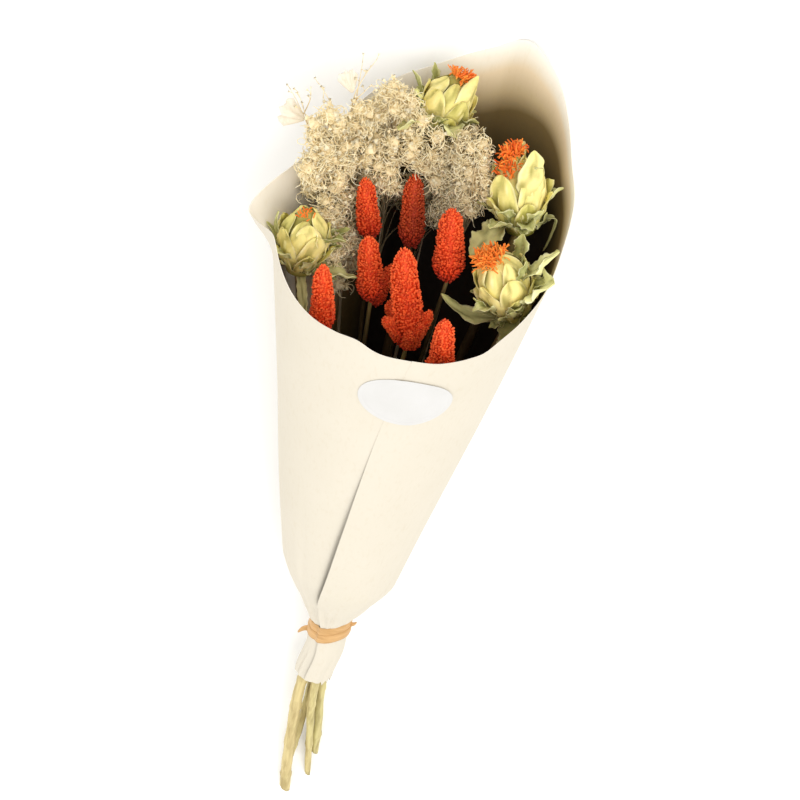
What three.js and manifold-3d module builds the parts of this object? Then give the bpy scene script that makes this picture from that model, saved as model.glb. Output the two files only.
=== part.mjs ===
// A bunch of dried flowers rolled in one sheet of cream paper and tied at the neck with a band.
// It lies on its side: the mouth of the paper cone faces +Y and the cut stem ends face -Y.
import * as THREE from 'three';
import Module from 'manifold-3d';

const wasm = await Module();
wasm.setup();

// Driving dimensions, in millimetres and degrees. The bunch is laid out on its own axes, before
// it is laid down: x to the right, y along the cone from its tip to its mouth, z to the front.
const LYING_TILT = 9.1;
const TIP_HEIGHT = 8.5;
const CENTRE = { x: -4.8, y: 212.2 };
const CLEARANCE = 0.35;

// The paper: a cone that is gathered at the neck, with a short collar below the tie. The tie lies
// slightly aslant, higher at the right, and the shoulder above it hangs lower there.
const CONE_SLOPE = 0.19;
const NECK_RADIUS = 10.25;
const GATHER = { from: 117, to: 156, ease: 1.5 };
const TIE_SLANT = 3;
const SHOULDER_SLANT = -4;
const SLANTS = [[99, 0], [107, TIE_SLANT], [124, TIE_SLANT], [GATHER.to, SHOULDER_SLANT], [200, 0]];
const COLLAR_END = 77;
const COLLAR_LEAN = { size: -3.2, from: 99, length: 24 };
const COLLAR_TEETH = { step: 1.5, tear: 2.5, from: 80, to: 112 };
const PAPER_THICKNESS = 0.7;
const LAYER_OFFSET = 0.8;
const COLUMN_ANGLE = 12;
const LAST_COLUMN = 420;
const ROWS_TO_THE_RIM = 4;
const PAPER_ROWS = [99, 107, GATHER.from, 124, 133, 144, GATHER.to, 200, 250];
const PLEAT = { height: 0.9, centre: 129, spread: 8, angle: 24 };
const LEFT_FLARE = { size: 11, angle: 272, spread: 22, from: 322, length: 34 };
const LEFT_BULGE = { size: 2.6, angle: 270, spread: 50, centre: 200, length: 60 };
const SEAM_LIFT = { size: 3.2, centre: 166, spread: 26, angle: 11 };
// The rim's distance along the cone, by the angle round it from the front, clockwise.
const RIM = [
  [-24, 335], [0, 334], [24, 334], [48, 341], [72, 354], [96, 374], [120, 402], [144, 428],
  [156, 437], [168, 428], [192, 409], [216, 389], [240, 368], [264, 359], [288, 351], [312, 344],
  [336, 337], [360, 333], [396, 329], [420, 322],
];
// The angle of the sheet's free edge, by the distance along the cone.
const SEAM = [[77, -18], [143, -17], [158, -12.5], [206, -4], [240, 0], [283, 4.5], [334, 11]];

const LABEL = { angle: 13, along: 306, halfWidth: 23, halfHeight: 15, thickness: 0.5 };
const BAND = { from: 107.3, to: 116.6, inner: 11.7, outer: 12.8, groove: 0.5, bevel: 0.3 };
// The band's tail loops: angle round the neck, share of the band's width, rise and radii. They
// start inside the band and reach beyond it.
const TAIL_REACH = [-0.7, 1.4, 2.6];
const TAILS = [
  { angle: 278, share: 0, rise: -1.2, radii: [1.3, 1.1, 0.5] },
  { angle: 60, share: 0.85, rise: 1.6, radii: [1.3, 1.1, 0.5] },
];

// The stems' places in the tied neck: four thick stems, thin ones in the pockets round them.
const NECK = { from: 94, middle: 102, to: 119 };
const THIN_STEM = 1.0;
const THICK_RING = 4.4;
const POCKET_RING = 5.9;
const OUTER_RING = 7.7;

const COLOURS = {
  paper: [0xf3ebda, 0.75], sticker: [0xf7f5f0, 0.55], band: [0xd9a66b, 0.6],
  safflower: [0xc9c98a, 0.8], floret: [0xf0701a, 0.8], plume: [0xd83a1c, 0.85], haze: [0xe8d5ab, 0.9],
};

const radians = (angle) => angle * Math.PI / 180;
const vector = (x, y, z) => new THREE.Vector3(x, y, z);
const along = (from, to, t) => from + (to - from) * t;
const bump = (offset, spread) => Math.exp(-((offset / spread) ** 2));

function smoothStep(x) {
  const t = Math.min(1, Math.max(0, x));
  return t * t * (3 - 2 * t);
}

function lookUp(stations, x) {
  const next = stations.findIndex(([at]) => at >= x);
  if (next === 0) return stations[0][1];
  if (next < 0) return stations[stations.length - 1][1];
  const [x0, y0] = stations[next - 1];
  const [x1, y1] = stations[next];
  return along(y0, y1, (x - x0) / (x1 - x0));
}

// A seeded random number between low and high.
function seededRandom(seed) {
  let state = seed;
  return (low = 0, high = 1) => {
    state = (state * 1664525 + 1013904223) % 4294967296;
    return along(low, high, state / 4294967296);
  };
}

// Closed solids from rings of points.
function solidFrom(points, triangles) {
  const corners = new Float32Array(points.flatMap((p) => [p.x, p.y, p.z]));
  let volume = 0;
  for (const [a, b, c] of triangles) {
    volume += points[a].dot(vector(0, 0, 0).crossVectors(points[b], points[c]));
  }
  const outward = volume > 0 ? triangles : triangles.map(([a, b, c]) => [a, c, b]);
  return { corners, triangles: new Uint32Array(outward.flat()) };
}

// Skin over a row of rings, each of the same number of points, closed by a point at each end.
// With mirrored set, neighbouring quads are split the opposite way, so both faces of a blade match.
function skin(rings, startPoint, endPoint, mirrored = false) {
  const count = rings[0].length;
  const points = rings.flat();
  const triangles = [];
  for (let i = 0; i + 1 < rings.length; i += 1) {
    for (let j = 0; j < count; j += 1) {
      const a = i * count + j;
      const b = i * count + (j + 1) % count;
      if (mirrored && j % 2 === 1) triangles.push([a, b, a + count], [b, b + count, a + count]);
      else triangles.push([a, b, b + count], [a, b + count, a + count]);
    }
  }
  const start = points.push(startPoint) - 1;
  const end = points.push(endPoint) - 1;
  const lastRing = (rings.length - 1) * count;
  for (let j = 0; j < count; j += 1) {
    const next = (j + 1) % count;
    triangles.push([start, next, j], [end, lastRing + j, lastRing + next]);
  }
  return solidFrom(points, triangles);
}

// A round bar along a list of points, with a radius at each point. It is pointed where it ends in 0.
function bar(points, radii, sides) {
  const rings = [];
  let across = null;
  points.forEach((point, i) => {
    if (radii[i] === 0) return;
    const before = points[Math.max(0, i - 1)];
    const after = points[Math.min(points.length - 1, i + 1)];
    const tangent = after.clone().sub(before).normalize();
    if (!across) across = Math.abs(tangent.z) < 0.8 ? vector(0, 0, 1) : vector(1, 0, 0);
    across = across.clone().addScaledVector(tangent, -across.dot(tangent)).normalize();
    const side = vector(0, 0, 0).crossVectors(tangent, across);
    const ring = [];
    for (let k = 0; k < sides; k += 1) {
      const angle = 2 * Math.PI * k / sides;
      ring.push(point.clone()
        .addScaledVector(across, radii[i] * Math.cos(angle))
        .addScaledVector(side, radii[i] * Math.sin(angle)));
    }
    rings.push(ring);
  });
  return skin(rings, points[0].clone(), points[points.length - 1].clone());
}

// A smooth run through a few points, as evenly spaced stations.
function smoothRun(points, stations) {
  return new THREE.CatmullRomCurve3(points, false, 'centripetal').getPoints(stations);
}

function manifoldOf({ corners, triangles }) {
  return new wasm.Manifold(new wasm.Mesh({ numProp: 3, vertProperties: corners, triVerts: triangles }));
}

// Joins closed solids that run into one another into one body.
function fuse(pieces) {
  let row = pieces.map(manifoldOf);
  while (row.length > 1) {
    const pairs = [];
    for (let i = 0; i < row.length; i += 2) {
      pairs.push(i + 1 < row.length ? row[i].add(row[i + 1]) : row[i]);
    }
    row = pairs;
  }
  const { vertProperties, triVerts } = row[0].getMesh();
  return { corners: vertProperties, triangles: triVerts };
}

function meshOf(name, { corners, triangles }, finish) {
  const geometry = new THREE.BufferGeometry();
  geometry.setAttribute('position', new THREE.BufferAttribute(corners, 3));
  geometry.setIndex(new THREE.BufferAttribute(triangles, 1));
  geometry.computeVertexNormals();
  const [color, roughness] = COLOURS[finish];
  const material = new THREE.MeshStandardMaterial({ color, roughness, metalness: 0 });
  const mesh = new THREE.Mesh(geometry, material);
  mesh.name = name;
  return mesh;
}

// The paper sheet. Its radius is the neck's up to the gather and the cone's beyond it.
function coneRadius(turn, y) {
  const right = Math.sin(radians(turn));
  const from = GATHER.from + TIE_SLANT * right;
  const to = GATHER.to + SHOULDER_SLANT * right;
  const closed = Math.min(1, Math.max(0, (to - y) / (to - from)));
  return along(NECK_RADIUS, CONE_SLOPE * y, 1 - closed ** GATHER.ease);
}

function collarLean(y) {
  return COLLAR_LEAN.size * smoothStep((COLLAR_LEAN.from - y) / COLLAR_LEAN.length);
}

function swelling(angle, y) {
  const flare = LEFT_FLARE.size * bump(angle - LEFT_FLARE.angle, LEFT_FLARE.spread)
    * smoothStep((y - LEFT_FLARE.from) / LEFT_FLARE.length);
  const bulge = LEFT_BULGE.size * bump(angle - LEFT_BULGE.angle, LEFT_BULGE.spread)
    * bump(y - LEFT_BULGE.centre, LEFT_BULGE.length);
  return flare + bulge;
}

function pleatHeight(angle, y) {
  const phase = Math.abs(((angle / PLEAT.angle) % 1 + 1) % 1 - 0.5) * 4 - 1;
  return PLEAT.height * phase * bump(y - PLEAT.centre, PLEAT.spread);
}

// The height above the surface that the bunch lies on.
function height(y, z) {
  return y * Math.sin(radians(LYING_TILT)) + z * Math.cos(radians(LYING_TILT)) + TIP_HEIGHT;
}

// A point of the sheet. Face is 0.5 on its outside and -0.5 on its inside. The sheet's free edge
// lies outside, a full turn later it has passed under itself, and it lies flat on the surface.
function paperPoint(turn, y, face) {
  const fromEdge = turn - lookUp(SEAM, y);
  const layer = LAYER_OFFSET * (1 - 2 * Math.min(1, fromEdge / 360));
  const lift = SEAM_LIFT.size * bump(fromEdge, SEAM_LIFT.angle)
    * bump(y - SEAM_LIFT.centre, SEAM_LIFT.spread);
  const radius = coneRadius(turn, y) + swelling(turn % 360, y) + pleatHeight(turn, y) + layer + lift
    + face * PAPER_THICKNESS;
  const across = radius * Math.sin(radians(turn)) + collarLean(y);
  const point = vector(across, y, radius * Math.cos(radians(turn)));
  const lowest = (0.5 - face) * PAPER_THICKNESS;
  const raise = Math.max(0, lowest - height(point.y, point.z));
  point.z += raise / Math.cos(radians(LYING_TILT));
  return point;
}

function paperWrap() {
  const firstColumns = 3;
  const columns = LAST_COLUMN / COLUMN_ANGLE;
  const turnOf = (column, y) => {
    const fixed = column * COLUMN_ANGLE;
    if (column >= firstColumns) return fixed;
    return along(lookUp(SEAM, y), firstColumns * COLUMN_ANGLE, column / firstColumns);
  };
  const rows = PAPER_ROWS.length + ROWS_TO_THE_RIM;
  const rowOf = (row, column) => {
    const turn = column * COLUMN_ANGLE;
    if (row === 0) {
      const torn = turn > COLLAR_TEETH.from && turn < COLLAR_TEETH.to;
      return COLLAR_END + (column % 2) * COLLAR_TEETH.step - (torn ? COLLAR_TEETH.tear : 0);
    }
    if (row <= PAPER_ROWS.length) {
      const y = PAPER_ROWS[row - 1];
      return y + lookUp(SLANTS, y) * Math.sin(radians(turnOf(column, y)));
    }
    const last = PAPER_ROWS[PAPER_ROWS.length - 1];
    const rim = lookUp(RIM, column === 0 ? lookUp(SEAM, RIM[1][1]) : turn);
    return along(last, rim, (row - PAPER_ROWS.length) / ROWS_TO_THE_RIM);
  };
  const points = [];
  for (const face of [0.5, -0.5]) {
    for (let i = 0; i <= columns; i += 1) {
      for (let j = 0; j <= rows; j += 1) {
        const y = rowOf(j, i);
        points.push(paperPoint(turnOf(i, y), y, face));
      }
    }
  }
  const inside = (columns + 1) * (rows + 1);
  const at = (i, j) => i * (rows + 1) + j;
  const triangles = [];
  const wall = (a, b, c, d) => triangles.push([a, b, c], [a, c, d]);
  for (let i = 0; i < columns; i += 1) {
    for (let j = 0; j < rows; j += 1) {
      wall(at(i, j), at(i, j + 1), at(i + 1, j + 1), at(i + 1, j));
      const corners = [at(i, j), at(i, j + 1), at(i + 1, j + 1), at(i + 1, j)];
      const [a, b, c, d] = corners.map((k) => k + inside);
      triangles.push([a, c, b], [a, d, c]);
    }
  }
  for (let i = 0; i < columns; i += 1) {
    wall(at(i, 0), at(i + 1, 0), at(i + 1, 0) + inside, at(i, 0) + inside);
    wall(at(i + 1, rows), at(i, rows), at(i, rows) + inside, at(i + 1, rows) + inside);
  }
  for (let j = 0; j < rows; j += 1) {
    wall(at(0, j + 1), at(0, j), at(0, j) + inside, at(0, j + 1) + inside);
    wall(at(columns, j), at(columns, j + 1), at(columns, j + 1) + inside, at(columns, j) + inside);
  }
  return solidFrom(points, triangles);
}

// The oval sticker over the sheet's free edge.
function label() {
  const around = 20;
  const outward = LAYER_OFFSET + PAPER_THICKNESS / 2 + CLEARANCE;
  const place = (share, k, lift) => {
    const angle = 2 * Math.PI * k / around;
    const y = LABEL.along + LABEL.halfHeight * share * Math.sin(angle);
    const radius = CONE_SLOPE * LABEL.along;
    const turn = radians(LABEL.angle) + LABEL.halfWidth * share * Math.cos(angle) / radius;
    const reach = CONE_SLOPE * y + outward + lift;
    return vector(reach * Math.sin(turn), y, reach * Math.cos(turn));
  };
  const ring = (share, lift) => Array.from({ length: around }, (_, k) => place(share, k, lift));
  const rings = [ring(0.5, 0), ring(1, 0), ring(1, LABEL.thickness), ring(0.5, LABEL.thickness)];
  return skin(rings, place(0, 0, 0), place(0, 0, LABEL.thickness));
}

// The band: two turns side by side, with a short tail loop at each side.
function tieBand() {
  const around = 28;
  const middle = (BAND.from + BAND.to) / 2;
  const { inner, outer, from, to, groove, bevel } = BAND;
  const profile = [
    [inner, from], [outer - bevel, from + bevel], [outer, along(from, middle, 0.5)],
    [outer - groove, middle],
    [outer, along(middle, to, 0.5)], [outer - bevel, to - bevel], [inner, to],
  ];
  const points = [];
  const triangles = [];
  for (let k = 0; k < around; k += 1) {
    const turn = 2 * Math.PI * k / around;
    const slant = TIE_SLANT * Math.sin(turn);
    for (const [radius, y] of profile) {
      points.push(vector(radius * Math.sin(turn), y + slant, radius * Math.cos(turn)));
    }
    for (let j = 0; j < profile.length; j += 1) {
      const a = k * profile.length + j;
      const b = k * profile.length + (j + 1) % profile.length;
      const c = ((k + 1) % around) * profile.length + (j + 1) % profile.length;
      const d = ((k + 1) % around) * profile.length + j;
      triangles.push([a, b, c], [a, c, d]);
    }
  }
  const tails = TAILS.map(({ angle, share, rise, radii }) => {
    const turn = radians(angle);
    const foot = along(from + radii[0], to - radii[0], share) + TIE_SLANT * Math.sin(turn);
    const reach = (radius, lift) => {
      return vector(radius * Math.sin(turn), foot + lift, radius * Math.cos(turn));
    };
    const [root, bend, end] = TAIL_REACH.map((beyond) => outer + beyond);
    return bar([reach(root, 0), reach(bend, rise / 2), reach(end, rise)], radii, 4);
  });
  return fuse([solidFrom(points, triangles), ...tails]);
}

// The places in the neck, by ring and angle from the right, anticlockwise.
function neckPlace(ring, angle) {
  return { x: ring * Math.cos(radians(angle)), z: ring * Math.sin(radians(angle)) };
}

// The route of a stem: from its cut end through its place in the neck to the base of its head. A
// thin stem ends inside the collar and leans with it.
function stemRoute({ place, base, below, bow = [0, 0], bowAt = 0.45 }) {
  const cutInCollar = vector(place.x + collarLean(NECK.from), NECK.from, place.z);
  const start = below ? below.map((p) => vector(...p)) : [cutInCollar];
  const neck = [vector(place.x, NECK.middle, place.z), vector(place.x, NECK.to, place.z)];
  const end = vector(...base);
  const middle = neck[1].clone().lerp(end, bowAt).add(vector(bow[0], 0, bow[1]));
  return [...start, ...neck, middle, end];
}

// Space taken by the pieces, as rods with a radius, to keep neighbours clear of one another.
const taken = [];
function take(owner, from, to, radius) {
  taken.push({ owner, from, to, radius });
}

function rodDistance(p1, q1, p2, q2) {
  const d1 = q1.clone().sub(p1);
  const d2 = q2.clone().sub(p2);
  const r = p1.clone().sub(p2);
  const a = d1.lengthSq() + 1e-9;
  const e = d2.lengthSq() + 1e-9;
  const f = d2.dot(r);
  const c = d1.dot(r);
  const b = d1.dot(d2);
  const spread = a * e - b * b;
  const clamp = (x) => Math.min(1, Math.max(0, x));
  let s = spread > 1e-9 ? clamp((b * f - c * e) / spread) : 0;
  const t = clamp((b * s + f) / e);
  s = clamp((b * t - c) / a);
  return p1.clone().addScaledVector(d1, s).distanceTo(p2.clone().addScaledVector(d2, t));
}

// Whether a rod stays clear of the other pieces, of the paper and of the surface. Depth is its
// radius towards the paper.
const FACET_SAG = 0.006;
const PAST_RIM = 4;
function isClear(owner, from, to, radius, depth = radius) {
  for (const rod of taken) {
    const apart = rod.radius + radius + CLEARANCE;
    if (rod.owner !== owner && rodDistance(from, to, rod.from, rod.to) < apart) return false;
  }
  return [from, from.clone().lerp(to, 0.5), to].every((point) => {
    const angle = (Math.atan2(point.x, point.z) * 180 / Math.PI + 360) % 360;
    const rim = lookUp(RIM, angle);
    const reach = Math.hypot(point.x, point.z);
    const facetSag = FACET_SAG * reach;
    const inset = LAYER_OFFSET + PAPER_THICKNESS / 2 + CLEARANCE + facetSag;
    const insidePaper = reach + depth < coneRadius(angle, point.y) - inset;
    const pastRim = point.y > rim + radius + PAST_RIM;
    return (insidePaper || pastRim) && height(point.y, point.z) > depth + PAPER_THICKNESS + CLEARANCE;
  });
}

// Axes on a flower head: along it, to its front and to its right.
function headAxes(base, tip) {
  const axis = tip.clone().sub(base).normalize();
  const front = vector(0, 0, 1).addScaledVector(axis, -axis.z).normalize();
  const right = vector(0, 0, 0).crossVectors(axis, front);
  const outward = (angle) => front.clone().multiplyScalar(Math.cos(radians(angle)))
    .addScaledVector(right, Math.sin(radians(angle)));
  return { axis, outward };
}

// A closed lump round a line, from a radius for each station along it and each column round it.
function lump(base, tip, rows, columns, radiusAt) {
  const { axis, outward } = headAxes(base, tip);
  const length = tip.distanceTo(base);
  const rings = [];
  for (let i = 0; i < rows; i += 1) {
    const ring = [];
    for (let j = 0; j < columns; j += 1) {
      const { share, radius } = radiusAt(i, j);
      ring.push(base.clone().addScaledVector(axis, share * length)
        .addScaledVector(outward(360 * j / columns), radius));
    }
    rings.push(ring);
  }
  return skin(rings, base.clone(), tip.clone());
}

// A leaf or bract on a head. Lean is its angle from the head's axis where it starts, and turn is
// how far it bends outwards on its way. The rim is toothed by every other station being narrower.
const BLADE_THICKNESS = 1.3;
function leafSpine(axes, root, { angle, length, lean, turn }, stations) {
  const { axis, outward } = axes;
  const out = outward(angle);
  const spine = [{ point: root.clone(), bend: radians(lean) }];
  for (let i = 1; i <= stations; i += 1) {
    const bend = radians(lean + turn * (i - 0.5) / stations);
    const step = axis.clone().multiplyScalar(Math.cos(bend)).addScaledVector(out, Math.sin(bend));
    spine.push({ point: spine[i - 1].point.clone().addScaledVector(step, length / stations), bend });
  }
  return spine;
}

function leafBlade(axes, spine, { angle, width }, teeth) {
  const { axis, outward } = axes;
  const out = outward(angle);
  const side = outward(angle + 90);
  const stations = spine.length - 1;
  const rings = [];
  for (let i = 0; i < stations; i += 1) {
    const share = i / stations;
    const tooth = teeth && i % 2 === 0 ? 0.74 : 1;
    const half = width / 2 * tooth * (0.3 + 0.7 * Math.sin(Math.PI * Math.min(1, 0.16 + share * 0.8)));
    const { point, bend } = spine[i];
    const normal = out.clone().multiplyScalar(Math.cos(bend)).addScaledVector(axis, -Math.sin(bend));
    const cup = half * 0.35;
    const wave = teeth ? half * 0.12 * (i % 2 === 0 ? 1 : -1) : 0;
    const edge = (sign) => point.clone().addScaledVector(side, sign * half)
      .addScaledVector(normal, -cup + wave * sign);
    const face = (sign) => point.clone().addScaledVector(normal, sign * BLADE_THICKNESS / 2);
    rings.push([edge(-1), face(1), edge(1), face(-1)]);
  }
  return skin(rings, spine[0].point.clone(), spine[stations].point.clone(), true);
}

// The safflowers. Leaves are [angle round the head, start along it, length, width, lean, turn].
const SAFFLOWERS = [
  {
    name: 'safflower_1', base: [56, 336, 5], tip: [38, 366, 8], radius: 11.6, place: [THICK_RING, 75],
    bow: [1, 4], bowAt: 0.35, stem: [1.5, 2.3, 2.4],
    below: [[6.1, -7, -5.85], [2.3, 28, -2.8], [-0.4, 58, 0.8]],
    leaves: [
      [95, 0.1, 20, 10, 38, 40], [130, 0.15, 19, 9, 35, 30], [272, 0, 34, 9, 118, -85],
      [335, 0, 22, 11, 138, -25],
    ],
    bracts: { count: 6, start: 15, length: 17, width: 8, lean: 24, turn: 38 },
    tuft: { size: 1.0, threads: 12 },
  },
  {
    name: 'safflower_2', base: [49, 365, -24], tip: [39, 399, -26], radius: 11.8,
    place: [THICK_RING, -15], bow: [1, -1.5], bowAt: 0.4, stem: [2.2, 2.3, 2.5],
    below: [[7.1, 9, -7.65], [5.8, 32, -6.6], [3.2, 60, -4.4]],
    leaves: [
      [300, 0, 26, 11, 148, -15], [80, 0.1, 26, 4, 60, -130], [20, 0.1, 18, 9, 40, 55],
      [330, 0.1, 17, 9, 45, 40],
    ],
    bracts: { count: 6, start: 40, length: 18, width: 8, lean: 22, turn: 34 },
    tuft: { size: 1.15, threads: 13 },
  },
  {
    name: 'safflower_3', base: [-2, 393, -47], tip: [4, 422, -51.5], radius: 11,
    place: [THICK_RING, -105], bow: [0, -1], bowAt: 0.5, stem: [1.9, 2.0, 2.2],
    below: [[-5.6, 4, -6.8], [-3.8, 26, -7.0], [-2.8, 56, -6.6]],
    leaves: [
      [290, 0.35, 16, 6, 30, 25], [262, 0.2, 17, 6, 42, 20], [270, 0, 24, 13, 90, -35],
      [95, 0, 22, 7, 105, -50],
    ],
    bracts: { count: 6, start: 0, length: 16, width: 8, lean: 22, turn: 34 },
    tuft: { size: 0.85, threads: 10 },
  },
  {
    name: 'safflower_4', base: [-51, 329, -2], tip: [-52.5, 362, -1], radius: 10.8,
    place: [THICK_RING, 165], bow: [-1, 1], bowAt: 0.4, stem: [2.9, 2.9, 2.6],
    below: [[-4.6, -19, -2.6], [-6.3, 2, -1.0], [-7.9, 32, -0.2], [-8.3, 60, 0.5]],
    leaves: [
      [95, 0.05, 22, 10, 62, -70], [278, 0.4, 18, 5, 40, -70], [250, 0, 20, 8, 50, 10],
      [25, 0, 24, 5, 150, -10],
    ],
    bracts: { count: 6, start: 25, length: 16, width: 7.5, lean: 20, turn: 34 },
    tuft: { size: 0.5, threads: 8 },
  },
];
const STEM_SIDES = 6;
// A stem swells from its radius at the cut end to its middle one between these distances along.
const STEM_SWELL = { cut: -19, full: 60 };
const SCALE_ROWS = 5;
const SCALE_COLUMNS = 12;

// Overlapping scales: each row stands out at its upper edge and the next one starts further in.
function bulb(base, tip, radius) {
  return lump(base, tip, SCALE_ROWS * 2, SCALE_COLUMNS, (i, j) => {
    const row = Math.floor(i / 2);
    const raised = i % 2 === 1;
    const share = raised ? (row + 1.05) / (SCALE_ROWS + 0.4) : (row + 0.1) / SCALE_ROWS;
    const belly = radius * Math.sin(Math.PI * (0.13 + 0.72 * Math.min(1, share))) ** 0.8;
    const onScale = (j + row) % 2 === 0;
    const stand = raised ? (onScale ? 0.07 : -0.03) : -0.05;
    const drop = raised && !onScale ? 0.05 : 0;
    return { share: Math.min(0.985, share - drop), radius: belly * (1 + stand) };
  });
}

function prepareSafflower(flower) {
  const base = vector(...flower.base);
  const tip = vector(...flower.tip);
  const control = stemRoute({ ...flower, place: neckPlace(...flower.place) });
  const route = smoothRun(control, 12);
  route.push(base.clone().lerp(tip, 0.2));
  const [end, mid, top] = flower.stem;
  const { cut, full } = STEM_SWELL;
  const radii = route.map(({ y }) => {
    return y < full ? along(end, mid, Math.max(0, (y - cut) / (full - cut))) : along(mid, top, 0.5);
  });
  route.forEach((p, i) => i > 0 && take(flower.name, route[i - 1], p, Math.max(radii[i], radii[i - 1])));
  take(flower.name, base.clone().lerp(tip, 0.25), base.clone().lerp(tip, 0.75), flower.radius + 0.8);
  return { ...flower, base, tip, route, radii };
}

// Bracts and leaves are bent closer to the head where they would meet a neighbour.
function leavesOf(flower) {
  const axes = headAxes(flower.base, flower.tip);
  const { count, start, length, width, lean, turn } = flower.bracts;
  const bracts = Array.from({ length: count }, (_, k) => ({
    angle: start + 360 * k / count, from: 0.1 + 0.12 * (k % 2), lean: lean + 8 * (k % 2),
    length, width, turn, teeth: false,
  }));
  const leaves = flower.leaves.map(([angle, from, size, wide, bend, curl]) => ({
    angle, from, length: size, width: wide, lean: bend, turn: curl, teeth: true,
  }));
  const pieces = [];
  for (const leaf of [...leaves, ...bracts]) {
    const axisPoint = flower.base.clone().lerp(flower.tip, leaf.from);
    const inset = leaf.from > 0.08 ? flower.radius * 0.62 : 1.0;
    const root = axisPoint.addScaledVector(axes.outward(leaf.angle), inset);
    for (const ease of [1, 0.8, 0.6, 0.4, 0.2, 0]) {
      const eased = {
        ...leaf, length: leaf.length * along(0.5, 1, ease), lean: leaf.lean * along(0.4, 1, ease),
        turn: leaf.turn * ease,
      };
      const spine = leafSpine(axes, root, eased, leaf.teeth ? 6 : 4);
      const halfWidth = (i) => leaf.width * (i > spine.length - 3 ? 0.25 : 0.5);
      const clear = spine.every(({ point }, i) => i === 0
        || isClear(flower.name, spine[i - 1].point, point, halfWidth(i), BLADE_THICKNESS));
      if (clear) {
        pieces.push(leafBlade(axes, spine, leaf, leaf.teeth));
        const room = leaf.width * 0.42;
        spine.forEach(({ point }, i) => i > 0 && take(flower.name, spine[i - 1].point, point, room));
        break;
      }
    }
  }
  return pieces;
}

function safflower(flower) {
  const stem = bar(flower.route, flower.radii, STEM_SIDES);
  return fuse([bulb(flower.base, flower.tip, flower.radius), stem, ...leavesOf(flower)]);
}

// The thread florets stand in a tuft on the tip of the bulb.
function florets(flower, seed) {
  const random = seededRandom(seed);
  const { size, threads } = flower.tuft;
  const { axis, outward } = headAxes(flower.base, flower.tip);
  const foot = flower.tip.clone().addScaledVector(axis, CLEARANCE);
  const up = (distance) => foot.clone().addScaledVector(axis, distance);
  const pieces = [bar([foot, up(2.5 * size), up(5 * size)], [3.4 * size, 3.2 * size, 1.6 * size], 7)];
  for (let k = 0; k < threads; k += 1) {
    const angle = 360 * k / threads + random(-12, 12);
    const lean = radians(random(12, 62));
    const length = size * random(7, 10.5);
    const root = up(1.6 * size);
    const reach = (share, bend) => root.clone()
      .addScaledVector(axis, length * share * Math.cos(lean * bend))
      .addScaledVector(outward(angle), length * share * Math.sin(lean * bend));
    pieces.push(bar([root, reach(0.6, 0.9), reach(1, 1.1)], [0.8, 0.65, 0], 3));
  }
  return fuse(pieces);
}

// The red plumes. Side heads are [angle, start along the head, length, width, lean].
const PLUMES = [
  { name: 'plume_1', base: [-21, 342, -20], tip: [-29, 372, -23], width: 11, place: [0, 0] },
  {
    name: 'plume_2', base: [-1, 340, -24], tip: [-6, 377, -28], width: 12, place: [POCKET_RING, 30],
    bow: [0, -1.5], bowAt: 0.3,
  },
  {
    name: 'plume_3', base: [20, 339, -4], tip: [15, 377, -5], width: 14.5, place: [POCKET_RING, -60],
    bow: [0, -0.5],
  },
  {
    name: 'plume_4', base: [-14, 322, 2], tip: [-21, 356, 2], width: 12.5, place: [POCKET_RING, 120],
    sides: [[120, -0.12, 22, 7, 24]],
  },
  { name: 'plume_5', base: [-33, 315, 28], tip: [-38, 355, 33], width: 11, place: [OUTER_RING, 136] },
  {
    name: 'plume_6', base: [8, 309, 14], tip: [-3, 364, 18], width: 15.5, place: [OUTER_RING, 104],
    sides: [
      [20, 0.02, 22, 8, 22], [95, 0, 21, 8, 24], [165, 0.03, 20, 7.5, 22], [235, 0, 22, 8, 24],
      [300, 0.05, 22, 8, 26],
    ],
  },
  { name: 'plume_7', base: [27, 311, 38], tip: [23, 348, 45], width: 11.5, place: [OUTER_RING, 46] },
];
const PLUME_ROWS = 11;
const PLUME_COLUMNS = 10;
const GRAIN_RELIEF = 0.12;

// A spike of grains: every other point of its surface stands out, row by row.
function spike(base, tip, width, rows = PLUME_ROWS, columns = PLUME_COLUMNS) {
  return lump(base, tip, rows, columns, (i, j) => {
    const share = (i + 0.4) / rows;
    const foot = Math.min(1, 0.62 + share * 3);
    const point = Math.min(1, (1 - share) * 9);
    const taper = foot * (1 - 0.62 * share ** 1.5) * point;
    const relief = (i + j) % 2 === 0 ? GRAIN_RELIEF : -GRAIN_RELIEF;
    return { share, radius: width / 2 * taper * (1 + relief) };
  });
}

function preparePlume(plume) {
  const base = vector(...plume.base);
  const tip = vector(...plume.tip);
  const control = stemRoute({ ...plume, place: neckPlace(...plume.place) });
  const route = smoothRun(control, 8);
  route.push(base.clone().lerp(tip, 0.3));
  route.forEach((p, i) => i > 0 && take(plume.name, route[i - 1], p, THIN_STEM));
  take(plume.name, base, base.clone().lerp(tip, 0.5), plume.width * 0.56);
  take(plume.name, base.clone().lerp(tip, 0.5), tip, plume.width * 0.42);
  const { axis, outward } = headAxes(base, tip);
  const sides = (plume.sides ?? []).map(([angle, from, length, width, lean]) => {
    const root = base.clone().lerp(tip, from).addScaledVector(outward(angle), 2);
    const end = root.clone().addScaledVector(axis, length * Math.cos(radians(lean)))
      .addScaledVector(outward(angle), length * Math.sin(radians(lean)));
    take(plume.name, root, end, width * 0.5);
    return { root, end, width };
  });
  return { ...plume, base, tip, route, sides };
}

function plumeSolid({ base, tip, width, route, sides }) {
  const stem = bar(route, route.map(() => THIN_STEM), 5);
  const branches = sides.map((side) => spike(side.root, side.end, side.width, 5, 6));
  return fuse([spike(base, tip, width), stem, ...branches]);
}

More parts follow.
